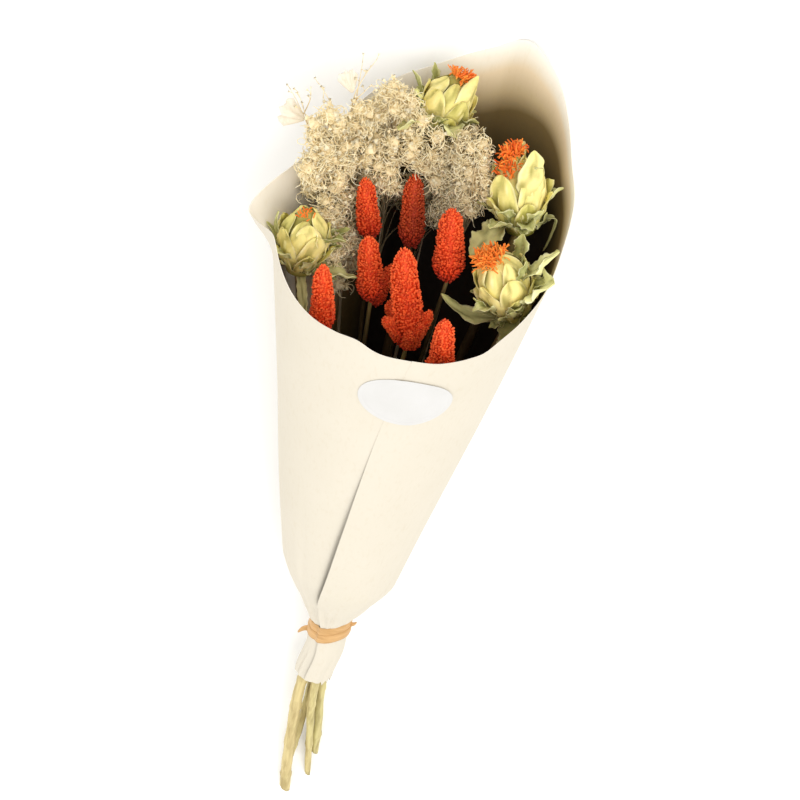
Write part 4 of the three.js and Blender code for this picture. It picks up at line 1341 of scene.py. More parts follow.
    def small_blades(self, random: Random) -> Blades:
        """Small crumpled leaves that close the ring under the bulb."""
        axes = self.axes
        count = 12
        even = FULL_TURN * np.arange(count) / count
        angle = self.bracts.start + 22.0 + even + random.normal(0, 8, count)
        start = random.uniform(-0.05, 0.12, count)
        roots = axes.at(start) + self.radius * 0.5 * axes.outward(angle)
        ranges = ((9.0, 15.0), (4.5, 8.0), (40.0, 100.0), (-80.0, 20.0))
        length, width, lean, turn = (random.uniform(low, high, count) for low, high in ranges)
        shape = {"ruffle": 0.34, "twist": 30.0, "stations": 20, "sides": 12}
        return Blades(axes, roots, angle, length, width, lean, turn, **shape)

    def build(self, finishes: dict[str, Material]) -> None:
        """Build the stem, the bulb, the leaves and the florets as four pieces."""
        random = np.random.default_rng(100 + self.number)
        node = f"safflower_{self.number}"
        stalk, bulb, leaf, tuft = (Gather() for _ in range(4))
        self.stem().add_to(stalk)
        stalk.piece(f"{node}_stem", finishes["stem"], "dried_safflower", node)
        self.add_core(bulb)
        for row, values in enumerate(self.rows):
            self.add_row(bulb, row, values, random)
        hoods = self.named_blades(self.hoods, 0.85, cup=0.5, ruffle=0.08, crumple=0.05, teeth=0.0)
        hoods.add_to(bulb, random)
        bulb.piece(f"{node}_bulb", finishes["bract"], "dried_safflower", node)
        leaves = self.named_blades(self.leaves, 0.8)
        for blades in (leaves, self.bract_blades(), self.small_blades(random)):
            blades.add_to(leaf, random)
        leaf.piece(f"{node}_leaves", finishes["leaf"], "dried_safflower", node)
        self.tuft.add_to(tuft, self.axes, self.belly, random)
        florets = f"safflower_florets_{self.number}"
        tuft.piece(f"{node}_threads", finishes["floret"], "orange_florets", florets)


SAFFLOWERS = (
    Safflower(
        number=1, tip=(38, 366, 8), radius=11.6, stem_radii=(1.5, 2.3, 2.4),
        route=Route(
            Ring.THICK, 75, (56, 336, 5), ((6.1, -7, -5.85), (2.3, 28, -2.8), (-0.4, 58, 0.8)),
            (1, 4), 0.35,
        ),
        bracts=Bracts(15, 17, 8, 24, 38), tuft=Tuft(210, 6.2, 5.0, 310.0, 44.0, 0.88, 0.16, 1.0),
        knots=(18.0, 52.0, 190.0), stem_tone=0.1,
        leaves=(
            (62, 0.22, 25, 19, 54, 8, 1.0), (84, 0.5, 26, 13, 66, -10, 1.0),
            (268, -0.02, 42, 10, 108, -104, 0.55),
            (335, 0, 22, 12, 121, -20, 0.0), (300, 0.1, 18, 7, 40, -30, 0.05),
            (120, 0.62, 17, 10, 40, -20, 0.1), (62, 0.55, 17, 8, 45, -20, 0.1),
        ),
        hoods=((345, 0.05, 24, 14, 18, -30, 1.0), (40, 0.35, 22, 11, 22, -40, 0.9)),
    ),
    Safflower(
        number=2, tip=(39, 399, -26), radius=11.8, stem_radii=(2.2, 2.3, 2.5),
        route=Route(
            Ring.THICK, -15, (49, 365, -24), ((7.1, 9, -7.65), (5.8, 32, -6.6), (3.2, 60, -4.4)),
            (1, -1.5), 0.4,
        ),
        bracts=Bracts(40, 18, 8, 22), tuft=Tuft(210, 5.5, 3.6, 330.0, 24.0, 0.84, 0.36, 1.16),
        knots=(24.0, 63.0, 240.0), stem_tone=0.25,
        leaves=(
            (308, 0.1, 22, 15, 112, 6, 1.0), (95, 0.1, 32, 3.6, 70, 200, 0.9),
            (20, 0.1, 18, 9, 40, 55, 0.3), (330, 0.1, 17, 10, 45, 40, 0.7),
            (45, 0.85, 15, 1.6, 30, 50, 0.9), (250, 0.4, 13, 8, 30, 10, 0.1),
            (200, 0.5, 18, 9, 20, 10, 0.0),
        ),
        hoods=(
            (50, 0.52, 27, 19, 32, -50, 1.0), (20, 0.05, 26, 14, 22, -28, 1.0),
            (80, 0.30, 22, 13, 26, -40, 0.95),
        ),
        rows=(
            (5, -0.02, 1.22, 1.20, 0.2, 0.0), (5, -0.03, 0.92, 1.05, 1.6, 36.0),
            (6, -0.04, 0.62, 0.95, 2.8, 15.0),
        ),
    ),
    Safflower(
        number=3, tip=(4, 422, -51.5), radius=11.0, stem_radii=(1.9, 2.0, 2.2),
        route=Route(
            Ring.THICK, -105, (-2, 393, -47), ((-5.6, 4, -6.8), (-3.8, 26, -7.0), (-2.8, 56, -6.6)),
            (0, -1), 0.5,
        ),
        bracts=Bracts(0, 16, 8, 22), tuft=Tuft(100, 4.5, 3.6, 60.0, 40.0, 0.98, 0.2, 1.06),
        knots=(12.0, 44.0), stem_tone=0.1,
        leaves=(
            (300, 0.15, 19, 8, 26, 25, 0.8), (262, 0.3, 19, 6, 32, 20, 0.05),
            (325, 0.35, 24, 13, 108, 0, 1.0), (22, 0.3, 16, 11, 88, 0, 1.0),
            (230, 0.4, 18, 8, 20, 10, 0.0), (330, 0.1, 13, 7, 40, 30, 0.6),
        ),
        hoods=(
            (62, 0.20, 30, 18, 12, -26, 1.0), (345, 0.0, 22, 12, 26, -20, 0.8),
            (110, 0.0, 20, 11, 60, -30, 0.9),
        ),
    ),
    Safflower(
        number=4, tip=(-52.5, 362, -1), radius=10.8, stem_radii=(2.9, 2.9, 2.6),
        route=Route(
            Ring.THICK, 165, (-51, 329, -2),
            ((-4.6, -19, -2.6), (-6.3, 2, -1.0), (-7.9, 32, -0.2), (-8.3, 60, 0.5)), (-1, 1), 0.4,
        ),
        bracts=Bracts(25, 16, 7.5, 20), tuft=Tuft(26, 3.0, 1.6, 0.0, 20.0, 0.94, 0.35, 1.0),
        knots=(-6.0, 20.0, 49.0, 70.0), stem_tone=0.0,
        leaves=(
            (80, 0.1, 21, 11, 110, -40, 0.75), (280, 0.42, 19, 4.5, 52, -75, 0.2),
            (262, 0.1, 20, 10, 30, 4, 0.25), (25, 0, 28, 5, 150, -20, 0.8),
            (50, 0.02, 19, 12, 44, -24, 1.0), (110, 0.3, 18, 10, 40, 20, 0.0),
            (70, 0.5, 16, 9, 45, 30, 0.05),
        ),
        hoods=(
            (18, 0.15, 26, 17, 12, -20, 1.0), (312, -0.02, 20, 13, 32, -34, 0.9),
            (62, 0.0, 22, 13, 36, -44, 0.9),
        ),
    ),
)


@dataclass(frozen=True)
class Spike:
    """A tapering head of dense grains."""

    axes: HeadAxes
    width: float
    grains_per_area: float = 0.76

    @property
    def grains(self) -> int:
        """How many grains cover the spike: its side's area times the grains for each area."""
        return int(self.grains_per_area * math.pi * self.width * self.axes.length * 0.8)

    def profile(self, share: Array) -> Array:
        """The spike's radius: widest a third of the way up, round and blunt at the tip."""
        swell = np.minimum(1.0, 0.42 + share * 3.4)
        blunt = np.sqrt(np.clip((1.0 - share) * 6.0, 0.0, 1.0))
        return self.width / 2 * swell * (1.0 - 0.40 * share**1.5) * blunt

    def lumps(self, share: Array, angle: Array) -> Array:
        """The factor on the profile that makes the side uneven: two families of low swellings."""
        turn = np.radians(angle)
        broad = np.sin(3.0 * turn + 9.0 * share + self.grains)
        fine = np.sin(5.0 * turn + 27.0 * share) * np.sin(4.0 * turn - 31.0 * share)
        return 1.0 + 0.05 * broad + 0.10 * fine

    def rising(self, share: Array) -> Array:
        """The place in the colour run: dark at the foot as painted shade, bright above it."""
        return 0.5 * smooth_step(share / 0.34) + 0.22 * share

    def add_core(self, gather: Gather) -> None:
        """Add the closed body that the grains stand on."""
        share = np.linspace(0.02, 0.98, 14)
        angle = -np.linspace(0.0, FULL_TURN, 12, endpoint=False)
        reach = 0.84 * self.profile(share)[:, None] * self.lumps(share[:, None], angle)
        rings = self.axes.at(share)[:, None] + reach[..., None] * self.axes.outward(angle)
        value = np.clip(self.rising(share), 0.0, 1.0)[None, :, None]
        gather.add_lofts(rings[None], self.axes.base[None], self.axes.tip[None], along=value, tone=0.5)

    def add_grains(self, gather: Gather, random: Random) -> None:
        """Add the grains: pointed buds on a golden spiral, one for each equal patch of surface."""
        axes, count = self.axes, self.grains
        fine = np.linspace(0.0, 1.0, 200)
        patch = np.cumsum(self.profile(fine) + 0.25)
        share = np.interp((np.arange(count) + 0.5) / count * patch[-1], patch, fine)
        share = np.clip(share + random.normal(0, 0.006, count), 0.0, 0.995)
        angle = GOLDEN_ANGLE * np.arange(count) + random.normal(0, 7.0, count)
        out = axes.outward(angle)
        rise = np.radians(mix(24.0, 66.0, share**2) + random.normal(0, 14.0, count))
        way = np.cos(rise)[:, None] * out + np.sin(rise)[:, None] * axes.axis
        length = random.uniform(1.7, 2.8, count) * mix(1.0, 0.72, share)
        radius = self.profile(share) * self.lumps(share, angle) - 0.55 * length * np.cos(rise)
        root = axes.at(share) + np.maximum(radius, 0.1)[:, None] * out
        stations = np.array([0.12, 0.45, 0.8])
        girth = np.array([0.62, 1.0, 0.62])
        thick = random.uniform(0.50, 0.86, count) * mix(1.0, 0.8, share)
        path = root[:, None] + (length[:, None] * stations)[..., None] * way[:, None]
        hint = np.cross(way, axes.axis)[:, None]
        rings = rings_round(path, hint, thick[:, None] * girth, 4)
        # Grains on the swellings are lighter and those in the hollows darker, and each grain is lighter
        # towards its tip: painted highlight and painted shade.
        swollen = (self.lumps(share, angle) - 0.85) / 0.3
        tone = np.clip(0.75 * swollen + random.uniform(-0.1, 0.5, count), 0.0, 1.0)[:, None, None]
        depth = np.clip(self.rising(share)[:, None, None] + 0.30 * stations[None, :, None], 0, 1)
        gather.add_lofts(rings, root, root + length[:, None] * way, along=depth, tone=tone)


@dataclass(frozen=True)
class Plume:
    """One red spike on its own thin stem, some with small side spikes at the base."""

    number: int
    tip: Point
    width: float
    route: Route
    # The side spikes: angle, start along the head, length, width and lean.
    sides: Table = ()
    @property
    def axes(self) -> HeadAxes:
        """The main spike's axes."""
        return self.route.axes(self.tip)

    def spikes(self) -> list[Spike]:
        """The main spike and its side spikes."""
        axes = self.axes
        found = [Spike(axes, self.width)]
        for angle, start, length, width, lean in self.sides:
            out = axes.outward(angle)
            root = axes.at(start) + 2.0 * out
            bent = math.radians(lean)
            end = root + length * (math.cos(bent) * axes.axis + math.sin(bent) * out)
            found.append(Spike(HeadAxes(root, end), width))
        return found

    def build(self, finishes: dict[str, Material]) -> None:
        """Build the stem and the spikes as two pieces."""
        random = np.random.default_rng(200 + self.number)
        node = f"plume_{self.number}"
        stalk, heads = Gather(), Gather()
        line = self.route.line(self.tip, 0.3, 34)
        Stem(line, np.full(len(line), 1.0), ribs=5, sides=10, tone=0.5).add_to(stalk)
        stalk.piece(f"{node}_stem", finishes["stem"], "dried_safflower", node)
        for spike in self.spikes():
            spike.add_core(heads)
            spike.add_grains(heads, random)
        heads.piece(f"{node}_grains", finishes["grain"], "red_plume", node)


PLUMES = (
    Plume(1, (-29, 372, -23), 11, Route(Ring.CENTRE, 0, (-21, 342, -20))),
    Plume(2, (-6, 377, -28), 12, Route(Ring.POCKET, 30, (-1, 340, -24), bow=(0, -1.5), bow_at=0.3)),
    Plume(3, (15, 377, -5), 14.5, Route(Ring.POCKET, -60, (20, 339, -4), bow=(0, -0.5))),
    Plume(4, (-21, 356, 2), 12.5, Route(Ring.POCKET, 120, (-14, 322, 2)), ((120, -0.12, 22, 7, 24),)),
    Plume(5, (-38, 355, 33), 11, Route(Ring.OUTER, 136, (-33, 315, 28))),
    Plume(
        6, (-3, 364, 18), 15.5, Route(Ring.OUTER, 104, (8, 309, 14)),
        (
            (15, 0.0, 16, 6.5, 28), (85, 0.03, 22, 7, 27), (165, 0.03, 20, 7.5, 22), (235, 0, 22, 8, 24),
            (308, 0.06, 20, 6.5, 30), (52, -0.02, 20, 6.5, 24),
        ),
    ),
    Plume(7, (23, 348, 45), 11.5, Route(Ring.OUTER, 46, (27, 311, 38)), ((272, -0.02, 13, 7, 18),)),
)


# The direction that the bunch is mostly seen from, and the haze's outline seen from there: at
# one front level, how far along its upper and lower edges lie at each place to the right.
VIEW = np.array([0.0, 0.589, 0.808])
HAZE_LEVEL = -22.0
HAZE_UPPER = (
    (-62, 388), (-60, 395), (-55, 402), (-50, 409), (-44, 415), (-35, 422), (-29, 428), (-18, 433),
    (0, 434), (10, 431), (17, 426), (24, 414), (33, 392),
)
HAZE_LOWER = (
    (-62, 350), (-45, 330), (-36, 298), (-30, 298), (-26, 330), (-22, 358), (-10, 366), (3, 356),
    (10, 358), (24, 366), (33, 380),
)


def clearance(points: Array, head: HeadAxes) -> tuple[Array, Array]:
    """How far points are from a head's axis, from its base to its tip.

    Returns:
        The distances, and those seen along the view for points in front of the axis (else far).
    """
    way = head.tip - head.base
    share = np.clip((points - head.base) @ way / (way @ way), 0.0, 1.0)
    offset = points - head.base - share[:, None] * way
    ahead = offset @ VIEW
    seen = np.linalg.norm(offset - ahead[:, None] * VIEW, axis=-1)
    return np.linalg.norm(offset, axis=-1), np.where(ahead > 0.0, seen, 1000.0)


def apart_from_one_another(points: Array, gap: float, most: int) -> Array:
    """Choose points in their order, leaving out those nearer than the gap to one already chosen."""
    chosen: list[int] = []
    for number, point in enumerate(points):
        if len(chosen) == most:
            break
        if not chosen or np.min(np.linalg.norm(points[chosen] - point, axis=1)) > gap:
            chosen.append(number)
    return np.array(chosen, int)


@dataclass(frozen=True)
class HazeSpray:
    """A spray of fine curly growth: bent twigs that end in puffs of curled hairs and small cups."""

    number: int
    tip: Point
    spread: float
    route: Route
    puffs: int
    hairs: int = 38
    threads: int = 14
    cup_size: float = 2.4
    # Puffs placed one by one, besides those that are scattered.
    more: tuple[Point, ...] = ()
    # The single twigs that stand out of the mouth, each named by its end.
    sprigs: tuple[Point, ...] = ()
    # The papery fans: where each starts, where it ends and its width.
    fans: Table = ()

    def canopy(self, right: Array) -> Array:
        """The front level that the haze fills up to: highest at the left, lowest in the middle."""
        left = smooth_step((-30.0 - right) / 20.0)
        return mix(-28.0, -12.0, left) + 6.0 * smooth_step((right - 5.0) / 20.0)

    def carried(self, points: Array) -> Array:
        """How far along points lie once they are carried along the view to one front level."""
        return points[:, 1] - VIEW[1] / VIEW[2] * (points[:, 2] - HAZE_LEVEL)

    def in_view(self, points: Array) -> Array:
        """Whether points, seen along the view, lie between the haze's two edges."""
        carried, right = self.carried(points), points[:, 0]
        under = carried < smooth_look_up(HAZE_UPPER, right) - 4.0
        over = carried > smooth_look_up(HAZE_LOWER, right) + 3.0
        return under & over & (right > HAZE_UPPER[0][0] + 4.0) & (right < HAZE_UPPER[-1][0] - 3.0)

    def middles(self, axes: HeadAxes, random: Random) -> tuple[Array, Array]:
        """Scatter the puffs' middles round the spray's axis, off the heads and not in front of them.

        Two thirds of them lie near the canopy's level, the rest below it. At the lower left they
        rise towards the view.

        Returns:
            The middles, and the share of the axis that each belongs to.
        """
        count = self.puffs * 60
        share = random.uniform(-0.5, 1.0, count)
        out = axes.outward(random.uniform(0.0, FULL_TURN, count))
        reach = self.spread * np.sqrt(random.uniform(0.02, 1.0, count))
        middle = axes.at(share) + reach[:, None] * out
        top = self.canopy(middle[:, 0])
        on_top = random.uniform(0, 1, count) < 0.65
        sunk = top - 5.0 * random.uniform(0, 1, count)
        middle[:, 2] = np.where(on_top, sunk, np.minimum(middle[:, 2], sunk))
        low = smooth_step((352.0 - self.carried(middle)) / 26.0)
        rise = 24.0 * low * smooth_step((-24.0 - middle[:, 0]) / 6.0)
        middle = PAPER.keep_inside(middle + rise[:, None] * VIEW, 3.0)
        clear = self.in_view(middle) & (middle[:, 2] < top + 1.0 + rise)
        for flower in SAFFLOWERS:
            near, seen = clearance(middle, flower.axes)
            clear &= (near > flower.radius + 3.5) & (seen > 0.75 * flower.radius + 1.0)
        for plume in PLUMES:
            near, seen = clearance(middle, plume.axes)
            clear &= (near > plume.width / 2 + 4.0) & (seen > plume.width / 2 + 2.0)
        clear = np.flatnonzero(clear)
        chosen = clear[apart_from_one_another(middle[clear], 4.5, self.puffs)]
        placed = np.array(self.more, float).reshape(-1, 3)
        own = (placed - axes.base) @ axes.axis / axes.length
        return np.concatenate([middle[chosen], placed]), np.concatenate([share[chosen], own])

    def add_lines(
        self, gather: Gather, path: Array, square: Array, thick: tuple[float, float], tone: Array
    ) -> None:
        """Add thin three-sided twigs along lines, from one thickness to another."""
        share = np.linspace(0.0, 1.0, path.shape[1])
        radii = mix(*thick, share) * np.ones((len(path), 1))
        rings = rings_round(path, square[:, None], radii, 3)
        ends = path[:, -1] + (path[:, -1] - path[:, -2]) * 0.2
        gather.add_lofts(rings, path[:, 0], ends, along=share[None, :, None], tone=tone)

    def add_arcs(
        self, gather: Gather, starts: Array, pulls: Array, ends: Array, stations: int,
        thick: tuple[float, float], tone: float, random: Random,
    ) -> Array:
        """Add twigs from starts to ends, each drawn towards its pull: quadratic Bezier curves.

        Returns:
            The points of the twigs' middle lines.
        """
        share = np.linspace(0.0, 1.0, stations)[None, :, None]
        starts, pulls, stops = starts[:, None], pulls[:, None], ends[:, None]
        path = mix(mix(starts, pulls, share), mix(pulls, stops, share), share)
        square = unit(np.cross(ends - starts[:, 0], random.normal(0, 1, ends.shape)))
        self.add_lines(gather, path, square, thick, tone)
        return path

    def add_cores(self, gather: Gather, middles: Array, random: Random) -> None:
        """Add a lumpy body in each puff: a ball whose radius varies by chance from point to point."""
        count = len(middles)
        level = np.linspace(-0.85, 0.85, 6)
        axis = unit(random.normal(0, 1, (count, 3)))
        up = square_to(axis, random)
        side = np.cross(up, axis)
        radius = random.uniform(2.1, 3.4, (count, 1, 1))
        angle = 2 * np.pi * np.arange(8) / 8
        girth = radius * np.sqrt(1.0 - level**2)[None, :, None] * random.uniform(0.72, 1.22, (count, 6, 8))
        spoke = np.cos(angle)[:, None] * side[:, None, None] + np.sin(angle)[:, None] * up[:, None, None]
        rise = (radius * level[None, :, None])[..., None] * axis[:, None, None]
        rings = PAPER.keep_inside(middles[:, None, None] + rise + girth[..., None] * spoke, 0.8)
        over = 0.1 * (radius[:, 0] * axis)
        starts, ends = rings[:, 0].mean(1) - over, rings[:, -1].mean(1) + over
        gather.add_lofts(rings, starts, ends, along=0.5, tone=random.uniform(0.0, 1.0, (count, 6, 8)))

    def add_hairs(
        self, gather: Gather, middles: Array, each: int, reach: tuple[float, float], curl: float,
        random: Random,
    ) -> None:
        """Add hairs round each middle, headed anyhow and curled, so that the puffs run together.

        Args:
            gather: what the hairs are added to.
            middles: the puffs' middles.
            each: how many hairs a puff has.
            reach: the least and the greatest length.
            curl: how far they curl, in degrees, as a spread.
            random: the source of the differences between them.
        """
        count = len(middles) * each
        ways = unit(random.normal(0, 1, (count, 3)))
        roots = np.repeat(middles, each, axis=0) + ways * random.uniform(1.0, 4.4, (count, 1))
        heading = unit(0.6 * ways + random.normal(0, 0.8, (count, 3)) + 0.25 * VIEW)
        lengths = random.uniform(*reach, count)
        stations = 4 if curl < 150.0 else 7
        turned = curl * random.choice([-1.0, 1.0], count) * random.uniform(0.5, 1.4, count)
        path, square = curled_lines(roots, heading, lengths, turned, random, stations)
        puff_tone = np.repeat(random.uniform(0.45, 1.0, len(middles)), each)
        tone = np.clip(puff_tone + random.normal(0, 0.25, count), 0, 1)[:, None, None]
        self.add_lines(gather, PAPER.keep_inside(path, 0.8), square, (0.28, 0.17), tone)

    def add_cups(
        self, gather: Gather, feet: Array, ways: Array, size: float, random: Random
    ) -> None:
        """Add papery cups: a narrow foot that widens to a pointed rim round a hollow."""
        count = len(feet)
        length = size * random.uniform(0.75, 1.2, count)
        wide = length[:, None] * random.uniform(0.34, 0.52, (count, 1))
        path = feet[:, None] + (length[:, None] * np.array([0.1, 0.6, 1.0]))[..., None] * ways[:, None]
        teeth = np.ones((3, 6))
        teeth[2, 1::2] = 0.7
        girth = wide[..., None] * np.array([0.2, 0.65, 1.1])[None, :, None] * teeth
        rings = rings_round(path, square_to(ways, random)[:, None], girth, 6)
        rings[:, 2, 1::2] -= (0.18 * length)[:, None, None] * ways[:, None]
        rings = PAPER.keep_inside(rings, 0.5)
        hollow = PAPER.keep_inside(feet + (length * 0.45)[:, None] * ways, 0.5)
        tone = random.uniform(0.5, 1.0, (count, 1, 1))
        gather.add_lofts(rings, feet, hollow, along=np.array([0.3, 0.7, 1.0])[None, :, None], tone=tone)

    def add_sprigs(self, twigs: Gather, cups: Gather, axes: HeadAxes, random: Random) -> None:
        """Add the single twigs, forked near their ends, with a small cup on each fork."""
        ends = np.array(self.sprigs, float)
        count = len(ends)
        starts = axes.at(np.linspace(0.35, 0.8, count))
        pulls = mix(starts, ends, 0.5) + random.normal(0, 3.0, (count, 3))
        path = self.add_arcs(twigs, starts, pulls, ends, 12, (0.34, 0.22), 0.9, random)
        fork_steps = np.array([8, 10, 11])
        which = np.repeat(np.arange(count), len(fork_steps))
        step = np.tile(fork_steps, count)
        roots = path[which, step]
        heading = unit(roots - path[which, step - 1])
        heading = unit(heading + random.normal(0, 0.45, heading.shape))
        lengths = random.uniform(1.6, 4.0, len(which))
        curl = random.normal(0, 40, len(which))
        line, square = curled_lines(roots, heading, lengths, curl, random, 6)
        self.add_lines(twigs, line, square, (0.24, 0.16), 0.9)
        self.add_cups(cups, line[:, -1], unit(line[:, -1] - line[:, -2]), 1.8, random)

    def add_fans(self, gather: Gather, random: Random) -> None:
        """Add the papery fans: thin folded sheets that open to a scalloped edge and face the view."""
        for *where, width in self.fans:
            foot, end = np.array(where, float).reshape(2, 3)
            way = unit(end - foot)
            side = unit(np.cross(way, VIEW))
            thin = np.cross(side, way)
            share = np.linspace(0.0, 1.0, 12)
            x = np.linspace(-1.0, 1.0, 25)[:, None]
            half = width / 2 * (0.10 + 0.90 * share**0.9)
            scallop = 1.0 - 0.30 * x**2 + 0.08 * np.cos(9.0 * x) + random.normal(0, 0.03, x.shape)
            reach = np.linalg.norm(end - foot) * share * scallop
            height = 0.9 * share * np.sin(8.0 * x + 1.3) - 0.14 * width * share * x**2
            flat = foot + reach[..., None] * way + (half * x)[..., None] * side + height[..., None] * thin
            tone, along = random.uniform(0.6, 1.0, x.shape), 0.4 + 0.6 * share
            gather.add_sheet(flat + 0.12 * thin, flat - 0.12 * thin, along=along, tone=tone)

    def build(self, finishes: dict[str, Material]) -> None:
        """Build the twigs, the bodies of the puffs, the hairs, the cups and any fans as pieces."""
        random = np.random.default_rng(300 + self.number)
        node = f"haze_spray_{self.number}"
        axes = self.route.axes(self.tip)
        twigs, puffs, hairs, cups, fans = (Gather() for _ in range(5))
        line = self.route.line(self.tip, 0.4, 34)
        radii = mix(1.0, 0.3, smooth_step((line[:, 1] - 250.0) / 110.0))[None]
        rings = rings_round(line[None], FRONT, radii, 6)
        along = np.linspace(0, 1, rings.shape[1])[None, :, None]
        twigs.add_lofts(rings, line[:1], line[-1:], along=along, tone=0.3)
        middles, share = self.middles(axes, random)
        LOG.info("%s: %d of %d puffs", node, len(middles), self.puffs)
        starts = axes.at(np.maximum(share - 0.5, -0.6))
        pulls = axes.at(share - 0.1) + random.normal(0, 2.0, middles.shape)
        self.add_arcs(twigs, starts, pulls, middles, 9, (0.45, 0.3), 0.5, random)
        self.add_cores(puffs, middles, random)
        self.add_hairs(hairs, middles, self.hairs, (2.4, 5.4), 100.0, random)
        self.add_hairs(hairs, middles, self.threads, (7.0, 13.0), 300.0, random)
        feet = np.repeat(middles, 4, axis=0)
        ways = unit(random.normal(0, 1, feet.shape) + 0.7 * VIEW)
        roots = feet + ways * random.uniform(2.0, 4.6, (len(feet), 1))
        self.add_cups(cups, PAPER.keep_inside(roots, 2.0), ways, self.cup_size, random)
        if self.sprigs:
            self.add_sprigs(twigs, cups, axes, random)
        self.add_fans(fans, random)
        named = {"twigs": twigs, "puffs": puffs, "hairs": hairs, "cups": cups, "fans": fans}
        for name, part in named.items():
            if part.total:
                part.piece(f"{node}_{name}", finishes[name], "cream_haze", node)


SPRAYS = (
    HazeSpray(
        1, (-70, 408, -24), 30, Route(Ring.OUTER, 194, (-43, 350, -32), bow=(-1, 0)), 62, cup_size=2.9,
        sprigs=((-72, 412, -22), (-68, 411, -22), (-62, 411, -22)),
        fans=((-63, 397, -23, -75, 401, -22, 14),),
    ),
    HazeSpray(
        2, (-44, 428, -24), 28, Route(Ring.POCKET, 210, (-36, 346, -36), bow=(-0.5, -0.5)), 62, cup_size=2.9,
        sprigs=((-59, 418, -22), (-56, 411, -22), (-41, 434, -22), (-35, 437, -22), (-35, 424, -22)),
        fans=((-43, 417, -23, -48, 428, -22, 10),),
    ),
    HazeSpray(3, (-22, 424, -38), 26, Route(Ring.OUTER, 226, (-18, 352, -42), bow=(0, -1)), 50),
    HazeSpray(
        4, (10, 398, -32), 22, Route(Ring.OUTER, 284, (4, 346, -42), bow=(0, -1)), 40,
        more=(
            (-8, 388, -32), (-2, 385, -33), (4, 381, -34), (-4, 380, -36), (2, 376, -34), (8, 376, -32),
            (9, 384, -33), (-6, 383, -31), (-10, 383, -33), (-1, 380, -32),
        ),
    ),
    HazeSpray(5, (25, 402, -18), 20, Route(Ring.OUTER, 316, (22, 350, -26), bow=(0.5, -1)), 30),
)


@dataclass(frozen=True)
class Studio:
    """The pale floor, the soft light and the camera at the photograph's viewing angle."""

    target: Point = (0.015375, 0.044645, 0.040)
    elevation: float = 63.0
    distance: float = 1.272
    roll: float = 12.734
    lens: float = 113.98
    sensor: float = 36.0
    floor_half: float = 6.0
    floor_colour: Colour = (0.95, 0.95, 0.945)
    sky_colour: Colour = (1.0, 0.99, 0.97)
    sky_strength: float = 0.98

    def camera(self) -> None:
        """Stand the camera beyond the mouth of the cone, looking down and back at it."""
        rise, roll = math.radians(self.elevation), math.radians(self.roll)
        back = np.array([0.0, math.cos(rise), math.sin(rise)])
        level_up = np.array([0.0, math.sin(rise), -math.cos(rise)])
        level_right = np.array([1.0, 0.0, 0.0])
        up = level_up * math.cos(roll) - level_right * math.sin(roll)
        right = level_right * math.cos(roll) + level_up * math.sin(roll)
        seen = bpy.data.cameras.new("camera")
        seen.lens = self.lens
        seen.sensor_width = self.sensor
        made = new_object("camera", seen)
        self.stand(made, right, up, back, np.array(self.target) + back * self.distance)
        bpy.context.scene.camera = made

    def stand(self, made: bpy.types.Object, right: Array, up: Array, back: Array, place: Array) -> None:
        """Stand a camera or light at a place, looking away from the back direction."""
        matrix = np.eye(4)
        matrix[:3] = np.stack([right, up, back, place], axis=1)
        made.matrix_world = Matrix(matrix.tolist())

    def floor(self) -> None:
        """Lay a wide pale floor at height 0."""
        half = self.floor_half
        mesh = bpy.data.meshes.new("floor")
        outline = [(-half, -half, 0), (half, -half, 0), (half, half, 0), (-half, half, 0)]
        mesh.from_pydata(outline, [], [(0, 1, 2, 3)])
        mesh.materials.append(Recipe("pale floor").finish(self.floor_colour, 0.9, 0.1))
        new_object("floor", mesh)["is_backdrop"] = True

    def area_light(self, name: str, place: Point, size: float, power: float) -> None:
        """Hang a square soft light that faces the bunch."""
        lamp = bpy.data.lights.new(name, "AREA")
        lamp.size = size
        lamp.energy = power
        back = unit(np.array(place) - np.array(self.target))
        side = unit(np.cross([0.0, 0.3, 1.0], back))
        self.stand(new_object(name, lamp), side, np.cross(back, side), back, np.array(place))

    def sky(self) -> None:
        """Fill the room with even light."""
        world = bpy.data.worlds.new("room")
        world.use_nodes = True
        shade = world.node_tree.nodes["Background"]
        shade.inputs["Color"].default_value = (*self.sky_colour, 1.0)
        shade.inputs["Strength"].default_value = self.sky_strength
        bpy.context.scene.world = world

    def build(self) -> None:
        """Build the camera, the floor and the lights."""
        self.camera()
        self.floor()
        bpy.context.scene.view_settings.view_transform = "Standard"
        self.sky()
        self.area_light("key", (0.9, 0.35, 1.9), 1.5, 23.0)
        self.area_light("fill", (-1.3, -0.6, 1.4), 1.6, 10.0)


# Leaf finishes: key, name, green, pale, shade, tip and rim, and the share of the painted shade by depth.
BLADES = (
    ("bract", "bulb bract", (0.52, 0.49, 0.10), (0.95, 0.81, 0.31), (0.20, 0.19, 0.02),
     (0.78, 0.70, 0.22), (0.97, 0.88, 0.48), 0.45),
    ("leaf", "dry leaf", (0.26, 0.27, 0.07), (0.84, 0.82, 0.38), (0.13, 0.13, 0.02),
     (0.56, 0.54, 0.18), (0.90, 0.86, 0.52), 0.5),
)
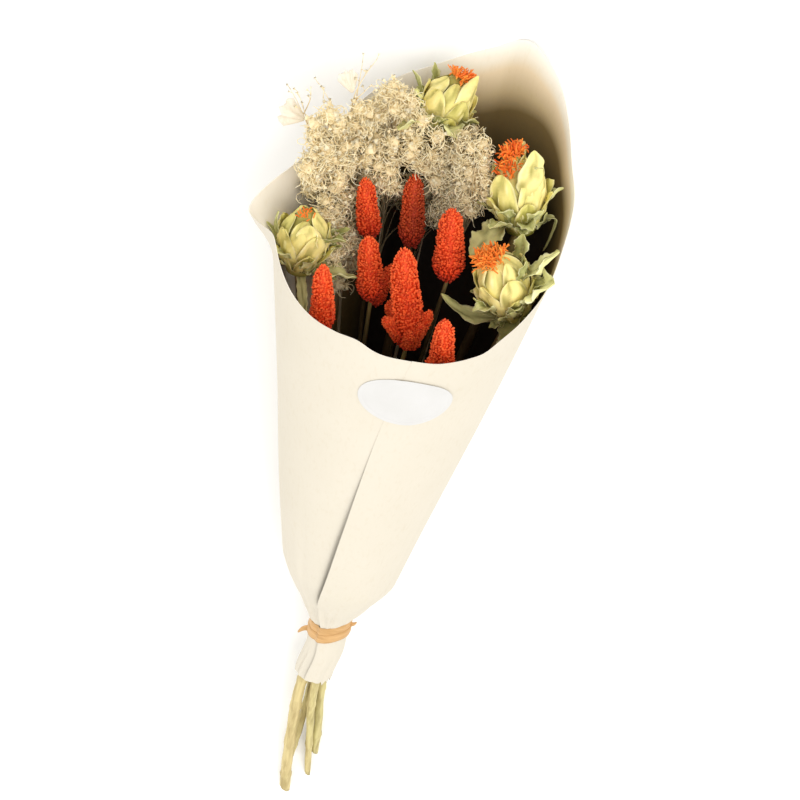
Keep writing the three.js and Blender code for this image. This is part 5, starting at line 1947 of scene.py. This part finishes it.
# Thread finishes: key, name, foot, middle, tip and deep colour, roughness, share of the painted shade by
# depth.
THREADS = (
    ("floret", "floret thread", (1.0, 0.52, 0.10), (1.0, 0.30, 0.03), (0.92, 0.12, 0.01),
     (0.75, 0.16, 0.02), 0.6, 0.4),
    ("grain", "red grain", (0.28, 0.009, 0.003), (0.90, 0.065, 0.007), (1.0, 0.17, 0.035),
     (0.58, 0.023, 0.004), 0.6, 0.55),
    ("twigs", "haze twig", (0.60, 0.46, 0.22), (0.86, 0.70, 0.42), (0.97, 0.87, 0.64),
     (0.66, 0.50, 0.27), 0.75, 0.7),
    ("puffs", "haze body", (0.72, 0.57, 0.30), (0.97, 0.82, 0.52), (0.98, 0.86, 0.58),
     (0.70, 0.55, 0.29), 0.85, 0.4),
    ("hairs", "haze hair", (0.94, 0.77, 0.44), (1.0, 0.87, 0.55), (1.0, 0.93, 0.70),
     (0.92, 0.75, 0.42), 0.75, 0.22),
    ("fans", "papery fan", (0.64, 0.54, 0.38), (0.78, 0.69, 0.54), (0.84, 0.77, 0.65),
     (0.64, 0.52, 0.36), 0.75, 0.2),
    ("cups", "haze cup", (0.86, 0.67, 0.36), (0.97, 0.80, 0.50), (1.0, 0.88, 0.60),
     (0.80, 0.62, 0.34), 0.75, 0.25),
)


def finishes() -> dict[str, Material]:
    """Build the finishes that several pieces share, by their keys."""
    found = {"stem": StemFinish().material()}
    found |= {key: BladeFinish(*values).material() for key, *values in BLADES}
    found |= {key: ThreadFinish(*values).material() for key, *values in THREADS}
    return found


def corners() -> list[list[float]]:
    """The shown object's box, as plain lists."""
    return [list(corner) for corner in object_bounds()]


def main() -> None:
    """Build the room and every piece of the bunch."""
    logging.basicConfig(level=logging.INFO, format="%(message)s")
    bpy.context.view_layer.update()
    Studio().build()
    shared = finishes()
    PAPER.build(PaperFinish())
    Sticker().build(StickerFinish())
    TieBand().build(BandFinish())
    for safflower in SAFFLOWERS:
        safflower.build(shared)
    for plume in PLUMES:
        plume.build(shared)
    for spray in SPRAYS:
        spray.build(shared)
    LOG.info("triangles: %d", sum(sum(len(f.vertices) - 2 for f in m.polygons) for m in bpy.data.meshes))


if __name__ == "__main__":
    main()
